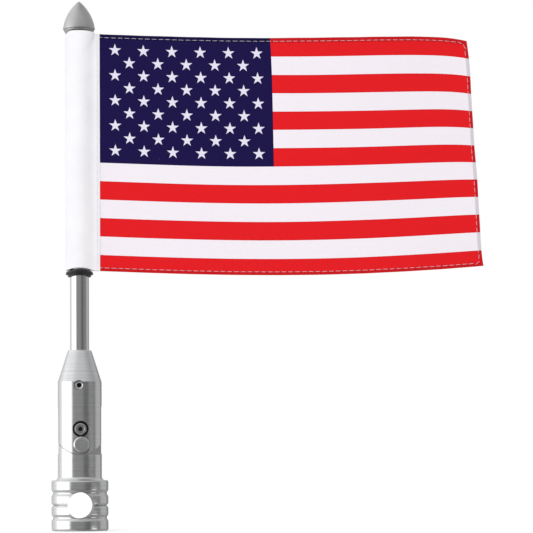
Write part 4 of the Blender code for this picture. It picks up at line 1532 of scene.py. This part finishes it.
@dataclass
class Flag(Assembly):
    """The printed panel, the white sleeve round the pole, and the stitches of both.

    Attributes:
        length: The panel's length at half height.
        columns: How many steps the panel's grid has along its length.
        rows: How many it has up its height.
        single: The thickness of one layer of cloth.
        hem: The thickness of the folded hem.
        hem_width: The width of the folded hem.
        stitch_inset: How far in from the edge the stitches run.
        stitch_pitch: From one stitch to the next.
        stitch_length: A stitch's length.
        thread_radius: The thread's radius.
        head_sag: How far the panel's head sags at mid length.
        head_rise: How far it rises towards the fly.
        head_drop: How far its corner at the fly droops.
        foot_sag: How far the panel's foot sags at mid length.
        foot_rise: How far it rises towards the fly.
        fly_slant: How far the fly's edge leans.
        fly_curl: How far its two corners bend out of that line.
        ripple: The height of the slow waves.
        billow: The height of the fly's billow.
        foot_drop: How far the panel's foot lies below its solid's.
        sleeve_drop: How far the sleeve's foot lies below its solid's.
        sleeve_shift: Where the sleeve's round part is centred, along X.
        sleeve_radius: That part's radius.
        sleeve_tip: Where the sleeve's seam ends, along X.
        sleeve_wall: The sleeve's thickness.
        sleeve_rows: How many steps the sleeve's grid has up its height.
        arch_rise: How far the sleeve's foot arches up at its middle.
        arch_half: Half of that arch's width.
        rim_rise: How far the sleeve's upper edge arches up.
        rim_left_drop: How far it drops at the left.
        flare: How far the sleeve opens at its top, clear of the finial.
    """

    length: float = 240.6 * MM
    columns: int = 200
    rows: int = 128
    single: float = 0.28 * MM
    hem: float = 0.75 * MM
    hem_width: float = 2.6 * MM
    stitch_inset: float = 2.1 * MM
    stitch_pitch: float = 4.3 * MM
    stitch_length: float = 3.6 * MM
    thread_radius: float = 0.12 * MM
    head_sag: float = 2.1 * MM
    head_rise: float = 3.2 * MM
    head_drop: float = 4.2 * MM
    foot_sag: float = 2.7 * MM
    foot_rise: float = 3.8 * MM
    fly_slant: float = 1.6 * MM
    fly_curl: float = 2.4 * MM
    ripple: float = 2.8 * MM
    billow: float = 6.0 * MM
    foot_drop: float = 1.2 * MM
    sleeve_drop: float = 1.1 * MM
    sleeve_shift: float = -1.0 * MM
    sleeve_radius: float = 7.55 * MM
    sleeve_tip: float = 12.9 * MM
    sleeve_wall: float = 0.35 * MM
    sleeve_rows: int = 150
    arch_rise: float = 1.5 * MM
    arch_half: float = 9 * MM
    rim_rise: float = 0.6 * MM
    rim_left_drop: float = 4.2 * MM
    flare: float = 2.75 * MM

    @property
    def foot(self) -> float:
        """The height of the panel's lower edge at the hoist."""
        return height("flag_sleeve")[0] - self.foot_drop

    @property
    def head(self) -> float:
        """The height of the sleeve's upper edge."""
        return height("flag_sleeve")[1]

    def point(self, u: float, v: float) -> Vector:
        """Returns a point of the panel. u runs from hoist to fly, and v from foot to head."""
        sag = math.sin(math.pi * u)
        low = self.foot - self.foot_sag * sag + self.foot_rise * u**4
        high = self.head - self.head_sag * sag + self.head_rise * u**2 - self.head_drop * u**16
        lean = 1 - 2 * v
        length = self.length + self.fly_slant * lean + self.fly_curl * lean**5
        slow = self.ripple * math.sin(math.tau * 1.15 * u + 0.8 * v)
        billow = self.billow * math.sin(math.pi * 1.7 * (v - 0.5)) * u
        depth = u * (slow + billow) + self.small_waves(u, v)
        return Vector((self.sleeve_tip + GAP / 2 + length * u, depth, low + (high - low) * v))

    def small_waves(self, u: float, v: float) -> float:
        """Returns the small buckles: along the sewn edges, and slanting out of the hoist."""
        edge = math.exp(-v / 0.05) + math.exp(-(1 - v) / 0.05)
        pucker = 0.22 * MM * edge * math.sin(math.tau * 9.3 * u + 1.1 * math.sin(7 * u))
        fly = 0.35 * MM * math.exp(-(1 - u) / 0.05) * math.sin(math.tau * 4.2 * v + 0.6)
        slant = 0.55 * MM * math.sin(math.tau * (1.9 * u + 1.3 * v) + 0.4) * math.sin(math.pi * u) ** 0.5
        cross = 0.3 * MM * math.sin(math.tau * (3.1 * u - 2.2 * v) + 2.1) * u
        hoist = 0.3 * MM * math.exp(-u / 0.06) * math.sin(math.tau * 5.3 * v)
        return pucker + fly + slant + cross + hoist * min(1.0, u / 0.01)

    def spread(self, count: int, width: float, span: float) -> list[float]:
        """Returns values from 0 to 1, closer together over the hem at the far end and the near end."""
        share = 2 * width / span
        inner = [share + (1 - 2 * share) * i / (count - 12) for i in range(count - 11)]
        lower = [share * i / 6 for i in range(6)]
        return lower + inner + [1 - value for value in reversed(lower)]

    def panel(self) -> bpy.types.Object:
        """Makes the printed panel with its thicker hem."""
        tall = self.head - self.foot
        across = self.spread(self.columns, self.hem_width, self.length)
        upward = self.spread(self.rows, self.hem_width, tall)
        grid = [[self.point(u, v) for u in across] for v in upward]
        lengths = [[(u * self.length, v * tall) for u in across] for v in upward]

        def thick(row: int, column: int) -> float:
            """Returns the cloth's thickness, with the hem's rounded outer edge."""
            to_fly = (1 - across[column]) * self.length
            inside = min(to_fly, upward[row] * tall, (1 - upward[row]) * tall)
            step = min(1.0, max(0.0, (self.hem_width + 0.3 * MM - inside) / (0.6 * MM)))
            outer = math.sqrt(min(1.0, 0.25 + inside / (0.5 * MM)))
            return (self.single + (self.hem - self.single) * step) * outer

        return cloth("printed_panel", grid, lengths, thick)

    def outline(self) -> list[Vector]:
        """Returns the sleeve's middle line, from the seam round the pole and back to the seam."""
        half = 0.45 * MM
        centre = self.sleeve_shift
        swing = math.acos((self.sleeve_radius - half) / (self.sleeve_tip - centre))
        touch = Vector((centre + self.sleeve_radius * math.cos(swing), self.sleeve_radius * math.sin(swing)))
        tip = Vector((self.sleeve_tip, half))
        side = [tip.lerp(touch, i / 24) for i in range(24)]
        for i, spot in enumerate(side):
            spot.y -= 0.7 * MM * math.sin(math.pi * min(1.0, i / 24 * 1.1)) ** 2 * min(1.0, i / 8)
        swing_deg = math.degrees(swing)
        round_part = arc(self.sleeve_radius, swing_deg, 360 - swing_deg, (centre, 0.0), 72)
        back = [Vector((spot.x, -spot.y)) for spot in reversed(side)]
        return [Vector((spot.x, spot.y, 0)) for spot in side + [Vector(p) for p in round_part] + back]

    def sleeve(self) -> bpy.types.Object:
        """Makes the sewn sleeve, arched at its head and foot."""
        line = self.outline()
        travelled = [0.0]
        for before, here in zip(line, line[1:]):
            travelled.append(travelled[-1] + (here - before).length)
        foot = height("flag_sleeve")[0] - self.sleeve_drop
        grid = []
        lengths = []
        for i in range(self.sleeve_rows + 1):
            t = i / self.sleeve_rows
            row = []
            for spot in line:
                low = foot + self.foot_arch(spot.x)
                high = self.rim(spot.x)
                level = low + (high - low) * t
                row.append(self.wrinkled(spot, level, t))
            grid.append(row)
            lengths.append([(s, t * (self.head - foot)) for s in travelled])

        def thick(row: int, column: int) -> float:
            """Returns the sleeve's wall, doubled over its hems."""
            near_end = min(row, self.sleeve_rows - row)
            return self.sleeve_wall * (1.5 if 1 <= near_end <= 3 else 1.0)

        return cloth("sewn_sleeve", grid, lengths, thick)

    def rim(self, x: float) -> float:
        """Returns the height of the sleeve's upper edge, which arches over the finial's underside."""
        left = min(1.0, max(0.0, (-x - 3.4 * MM) / (5.1 * MM)))
        right = min(1.0, max(0.0, (x - 2.0 * MM) / (8.5 * MM)))
        return self.head + self.rim_rise * (1 - right**2 * (3 - 2 * right)) - self.rim_left_drop * left**2.2

    def foot_arch(self, x: float) -> float:
        """Returns how far the sleeve's foot lies above its lowest point."""
        return self.arch_rise * max(0.0, 1 - (x / self.arch_half) ** 2)

    def wrinkled(self, spot: Vector, level: float, t: float) -> Vector:
        """Moves a point of the sleeve by its soft creases."""
        outward = Vector((spot.x - self.sleeve_shift, spot.y, 0)).normalized()
        free = max(0.0, 1 - abs(spot.x - 1 * MM) / (15 * MM))
        wave = math.sin(math.tau * 3.2 * t + 260 * spot.x)
        wave += 0.6 * math.sin(math.tau * 7.7 * t - 330 * spot.x + 1.0)
        here = Vector((spot.x, spot.y, 0)) + outward * (0.14 * MM * wave * free)
        opened = min(1.0, max(0.0, (level - self.head + 10 * MM) / (12 * MM)))
        least = self.sleeve_radius + self.flare * opened**2 * (3 - 2 * opened)
        if opened and here.length < least:
            here *= least / here.length
        return Vector((here.x, here.y, level))

    def stitch_path(self, side: float) -> list[Vector]:
        """Returns the hem's stitch line on one face of the panel, from the hoist round the fly and back."""
        tall = self.head - self.foot
        du, dv = self.stitch_inset / self.length, self.stitch_inset / tall
        turn = 2.2 * MM
        ru, rv = turn / self.length, turn / tall

        def corner(middle_v: float, start: float) -> list[Point]:
            """Returns the quarter turn round one of the fly's corners."""
            turns = (math.radians(start - 9 * i) for i in range(11))
            return [(1 - du - ru + ru * math.cos(a), middle_v + rv * math.sin(a)) for a in turns]

        spots = [(u, 1 - dv) for u in (i / 240 * (1 - du - ru) for i in range(240))]
        spots += corner(1 - dv - rv, 90)
        spots += [(1 - du, v) for v in (1 - dv - rv - i / 160 * (1 - 2 * dv - 2 * rv) for i in range(1, 160))]
        spots += corner(dv + rv, 0)
        spots += [(u, dv) for u in ((1 - du - ru) * (1 - i / 240) for i in range(1, 241))]
        return [self.on_face(u, v, side * (self.hem / 2 + 0.02 * MM)) for u, v in spots]

    def on_face(self, u: float, v: float, lift: float) -> Vector:
        """Returns a point that stands off the panel's middle surface."""
        step = 1e-4
        here = self.point(u, v)
        along = self.point(u + step, v) - here
        up = self.point(u, v + step) - here
        return here + up.cross(along).normalized() * lift

    def seam_path(self, side: float) -> list[Vector]:
        """Returns the line of stitches up one face of the sleeve's seam."""
        x = self.sleeve_tip - 1.6 * MM
        face = next(spot.y for spot in self.outline() if spot.x <= x)
        y = side * (face + self.sleeve_wall / 2 + 0.05 * MM)
        low, high = self.foot + 1.5 * MM, self.head - 1.5 * MM
        return [Vector((x, y, low + (high - low) * i / 40)) for i in range(41)]

    def stitches(self, name: str, paths: Iterable[list[Vector]]) -> bpy.types.Object:
        """Sews stitches along paths.

        Args:
            name: The piece's name.
            paths: The lines that the thread follows.

        Returns:
            The stitches as one mesh.
        """
        curve = bpy.data.curves.new(name, "CURVE")
        curve.dimensions = "3D"
        for path in paths:
            spline = curve.splines.new("POLY")
            spline.points.add(len(path) - 1)
            for point, spot in zip(spline.points, path):
                point.co = (*spot, 1.0)
        line = bpy.data.objects.new(name, curve)
        bpy.context.scene.collection.objects.link(line)
        values = {
            "Pitch": self.stitch_pitch, "Stitch Length": self.stitch_length,
            "Thread Radius": self.thread_radius, "Thread": Thread().make(),
        }
        return grown(line, bpy.data.node_groups["stitches"], values)

    def build(self) -> None:
        """Builds the cloth and its stitches."""
        printed = FlagPrint("printed polyester", (0.845, 0.794, 0.85))
        panel = self.fit(self.panel(), Body.FLAG, "printed_polyester", printed, "flag_panel")
        panel.visible_glossy = False
        white = Woven("sleeve polyester", (0.865, 0.86, 0.89))
        sleeve = self.fit(self.sleeve(), Body.FLAG, "white_polyester", white, "flag_sleeve")
        hem = self.stitches("hem_stitches", [self.stitch_path(-1.0), self.stitch_path(1.0)])
        self.fit(hem, Body.FLAG, "white_polyester", None)
        seam = self.stitches("seam_stitches", [self.seam_path(-1.0), self.seam_path(1.0)])
        self.fit(seam, Body.FLAG, "white_polyester", None)


# ================================================================ studio


@dataclass
class Studio:
    """The floor, the soft light and the camera.

    Attributes:
        target: The point at the middle of the picture.
        width: The width that the picture takes in at that point.
        distance: How far in front of it the camera stands.
        pitch: How far the camera looks up, in degrees.
        yaw: How far it looks to the right, in degrees.
        roll: How far the camera leans, in degrees, which leans the picture to the left.
        shift: The lens's shift to the right and up, as a share of the picture's width.
        level_band: The light that upright metal mirrors, by azimuth from the front in degrees.
        high_band: The light that metal facing a little upwards mirrors.
        top_band: The light overhead.
        low_band: The light from below.
        patch: How bright the small lamp at the right is.
        patch_turn: Where that lamp starts, is full, fades and ends, in turns.
        patch_rise: The same up its height, in radians.
        key_size: The width of the soft key light.
        key_power: Its power.
        key_place: Where it hangs.
        key_aim: What it points at.
    """

    target: tuple[float, float, float] = (118.4 * MM, 0.0, 150.2 * MM)
    width: float = 337.6 * MM
    distance: float = 1.6
    pitch: float = 3.4
    yaw: float = 5.0
    roll: float = 0.3
    shift: float = 0.11
    level_band: tuple[Point, ...] = (
        (-180, 0.5), (-134, 0.78), (-116, 0.95), (-98, 1.6), (-48, 1.6), (-40, 0.29),
        (12, 0.26), (22, 0.15), (40, 0.14), (54, 0.22), (85, 0.25), (92, 0.47),
        (126, 0.5), (138, 0.3), (180, 0.3),
    )
    high_band: tuple[Point, ...] = (
        (-180, 0.9), (-110, 1.0), (-50, 0.9), (-20, 0.68), (30, 0.62), (80, 0.4), (120, 0.5), (180, 0.6),
    )
    patch: float = 1.5
    patch_turn: tuple[float, ...] = tuple(0.5 + angle / 360 for angle in (42, 50, 68, 76))
    patch_rise: tuple[float, ...] = tuple(math.radians(angle) for angle in (-24, -19, -10, -6))
    key_size: float = 0.9
    key_power: float = 3.0
    key_place: tuple[float, float, float] = (-0.55, -0.95, 0.85)
    key_aim: tuple[float, float, float] = (0.1, 0.0, 0.17)
    top_band: tuple[Point, ...] = (
        (-180, 0.7), (-110, 0.78), (-50, 0.72), (-15, 0.52), (40, 0.36), (100, 0.28), (150, 0.4), (180, 0.6),
    )
    low_band: tuple[Point, ...] = (
        (-180, 0.5), (-110, 0.6), (-50, 0.45), (-15, 0.24), (40, 0.2), (100, 0.3), (180, 0.4),
    )

    def floor(self) -> None:
        """Lays a wide pale floor at the foot of the clamp."""
        level = CAD_BOUNDS[0][2]
        made = bmesh.new()
        bmesh.ops.create_circle(made, cap_ends=True, radius=6.0, segments=64)
        bmesh.ops.translate(made, verts=made.verts, vec=(0, 0, level))
        mesh = bpy.data.meshes.new("studio_floor")
        made.to_mesh(mesh)
        made.free()
        floor = bpy.data.objects.new("studio_floor", mesh)
        bpy.context.scene.collection.objects.link(floor)
        paper = bpy.data.materials.new("floor paper")
        paper.use_nodes = True
        shader = paper.node_tree.nodes["Principled BSDF"]
        shader.inputs["Base Color"].default_value = grey(0.9)
        shader.inputs["Roughness"].default_value = 0.9
        shader.inputs["Specular IOR Level"].default_value = 0.1
        shader.inputs["Emission Color"].default_value = grey(1.0)
        shader.inputs["Emission Strength"].default_value = 0.2
        mesh.materials.append(paper)
        floor.visible_glossy = False

    def band(self, bench: Bench, turn: Value, stops: Sequence[Point]) -> bpy.types.NodeSocket:
        """Returns the light of a band of softboxes, by azimuth."""
        ramp = bench.add("ShaderNodeValToRGB", {"Fac": turn})
        elements = ramp.color_ramp.elements
        while len(elements) < len(stops):
            elements.new(0.5)
        peak = 2.0
        for element, (azimuth, level) in zip(elements, stops):
            element.position = (azimuth + 180) / 360
            element.color = grey(level / peak)
        return bench.times(ramp.outputs[0], peak)

    def light(self) -> None:
        """Lights the studio: a white room, softboxes that metal mirrors, and a soft key light."""
        world = bpy.data.worlds.new("studio")
        world.use_nodes = True
        bench = Bench(world.node_tree)
        place = bench.add("ShaderNodeTexCoord").outputs["Generated"]
        spot = bench.split(place)
        azimuth = bench.math("ARCTAN2", spot[0], bench.times(spot[1], -1.0))
        turn = bench.plus(bench.math("DIVIDE", azimuth, math.tau), 0.5)
        rise = bench.math("ARCSINE", spot[2])
        level = self.band(bench, turn, self.level_band)
        high = self.band(bench, turn, self.high_band)
        over = bench.ramp(rise, math.radians(10), math.radians(30), 0.0, 1.0)
        under = bench.ramp(rise, math.radians(-9), math.radians(-26), 0.0, 1.0)
        overhead = bench.ramp(rise, math.radians(54), math.radians(72), 0.0, 1.0)
        mirrored = bench.blend(over, level, high)
        mirrored = bench.blend(overhead, mirrored, self.band(bench, turn, self.top_band))
        mirrored = bench.blend(under, mirrored, self.band(bench, turn, self.low_band))
        inside = 1.0
        for value, (start, full, fading, end) in ((turn, self.patch_turn), (rise, self.patch_rise)):
            inside = bench.times(bench.ramp(value, start, full, 0.0, 1.0), inside)
            inside = bench.times(bench.ramp(value, fading, end, 1.0, 0.0), inside)
        mirrored = bench.blend(inside, mirrored, grey(self.patch))
        soft = bench.plus(bench.times(spot[2], 0.12), bench.times(spot[0], -0.10))
        even = bench.plus(bench.plus(soft, bench.times(spot[1], -0.06)), 0.86)
        rays = bench.add("ShaderNodeLightPath").outputs
        lit = bench.blend(rays["Is Glossy Ray"], even, mirrored)
        seen = bench.blend(rays["Is Camera Ray"], lit, grey(1.0))
        background = bench.add("ShaderNodeBackground", {"Color": seen, "Strength": 1.0})
        bench.add("ShaderNodeOutputWorld", {"Surface": background.outputs[0]})
        bpy.context.scene.world = world
        key = bpy.data.lights.new("soft key", "AREA")
        key.size = self.key_size
        key.energy = self.key_power
        lamp = bpy.data.objects.new("soft key", key)
        lamp.location = self.key_place
        aim = Vector(self.key_aim) - lamp.location
        lamp.rotation_euler = aim.to_track_quat("-Z", "Y").to_euler()
        lamp.visible_glossy = False
        bpy.context.scene.collection.objects.link(lamp)

    def camera(self) -> None:
        """Sets up the camera, low in front and looking up a little."""
        turn = Matrix.Rotation(-math.radians(self.yaw), 3, "Z")
        turn = turn @ Matrix.Rotation(math.radians(90 + self.pitch), 3, "X")
        turn = turn @ Matrix.Rotation(-math.radians(self.roll), 3, "Z")
        right, up, back = turn.col
        aim = Vector(self.target) - (right + up) * (self.shift * self.width)
        data = bpy.data.cameras.new("front camera")
        data.sensor_width = 36.0
        data.lens = data.sensor_width * self.distance / self.width
        data.shift_x = data.shift_y = self.shift
        data.clip_start = 0.01
        eye = bpy.data.objects.new("front camera", data)
        eye.location = aim + back * self.distance
        eye.rotation_euler = turn.to_euler()
        bpy.context.scene.collection.objects.link(eye)
        bpy.context.scene.camera = eye

    def build(self) -> None:
        """Builds the studio."""
        self.camera()
        self.floor()
        self.light()
        bpy.context.scene.view_settings.view_transform = "Standard"
        log.info("studio: camera %.2f m away, looking up %.1f degrees", self.distance, self.pitch)


def main() -> None:
    """Builds the studio and every piece."""
    logging.basicConfig(level=logging.INFO, format="%(name)s: %(message)s")
    Studio().build()
    stitch_tree()
    knurl_tree()
    knuckle = Knuckle()
    for assembly in (Clamp(knuckle), knuckle, Mast(), Flag()):
        assembly.build()
        log.info("%s is done", type(assembly).__name__)


if __name__ == "__main__":
    main()
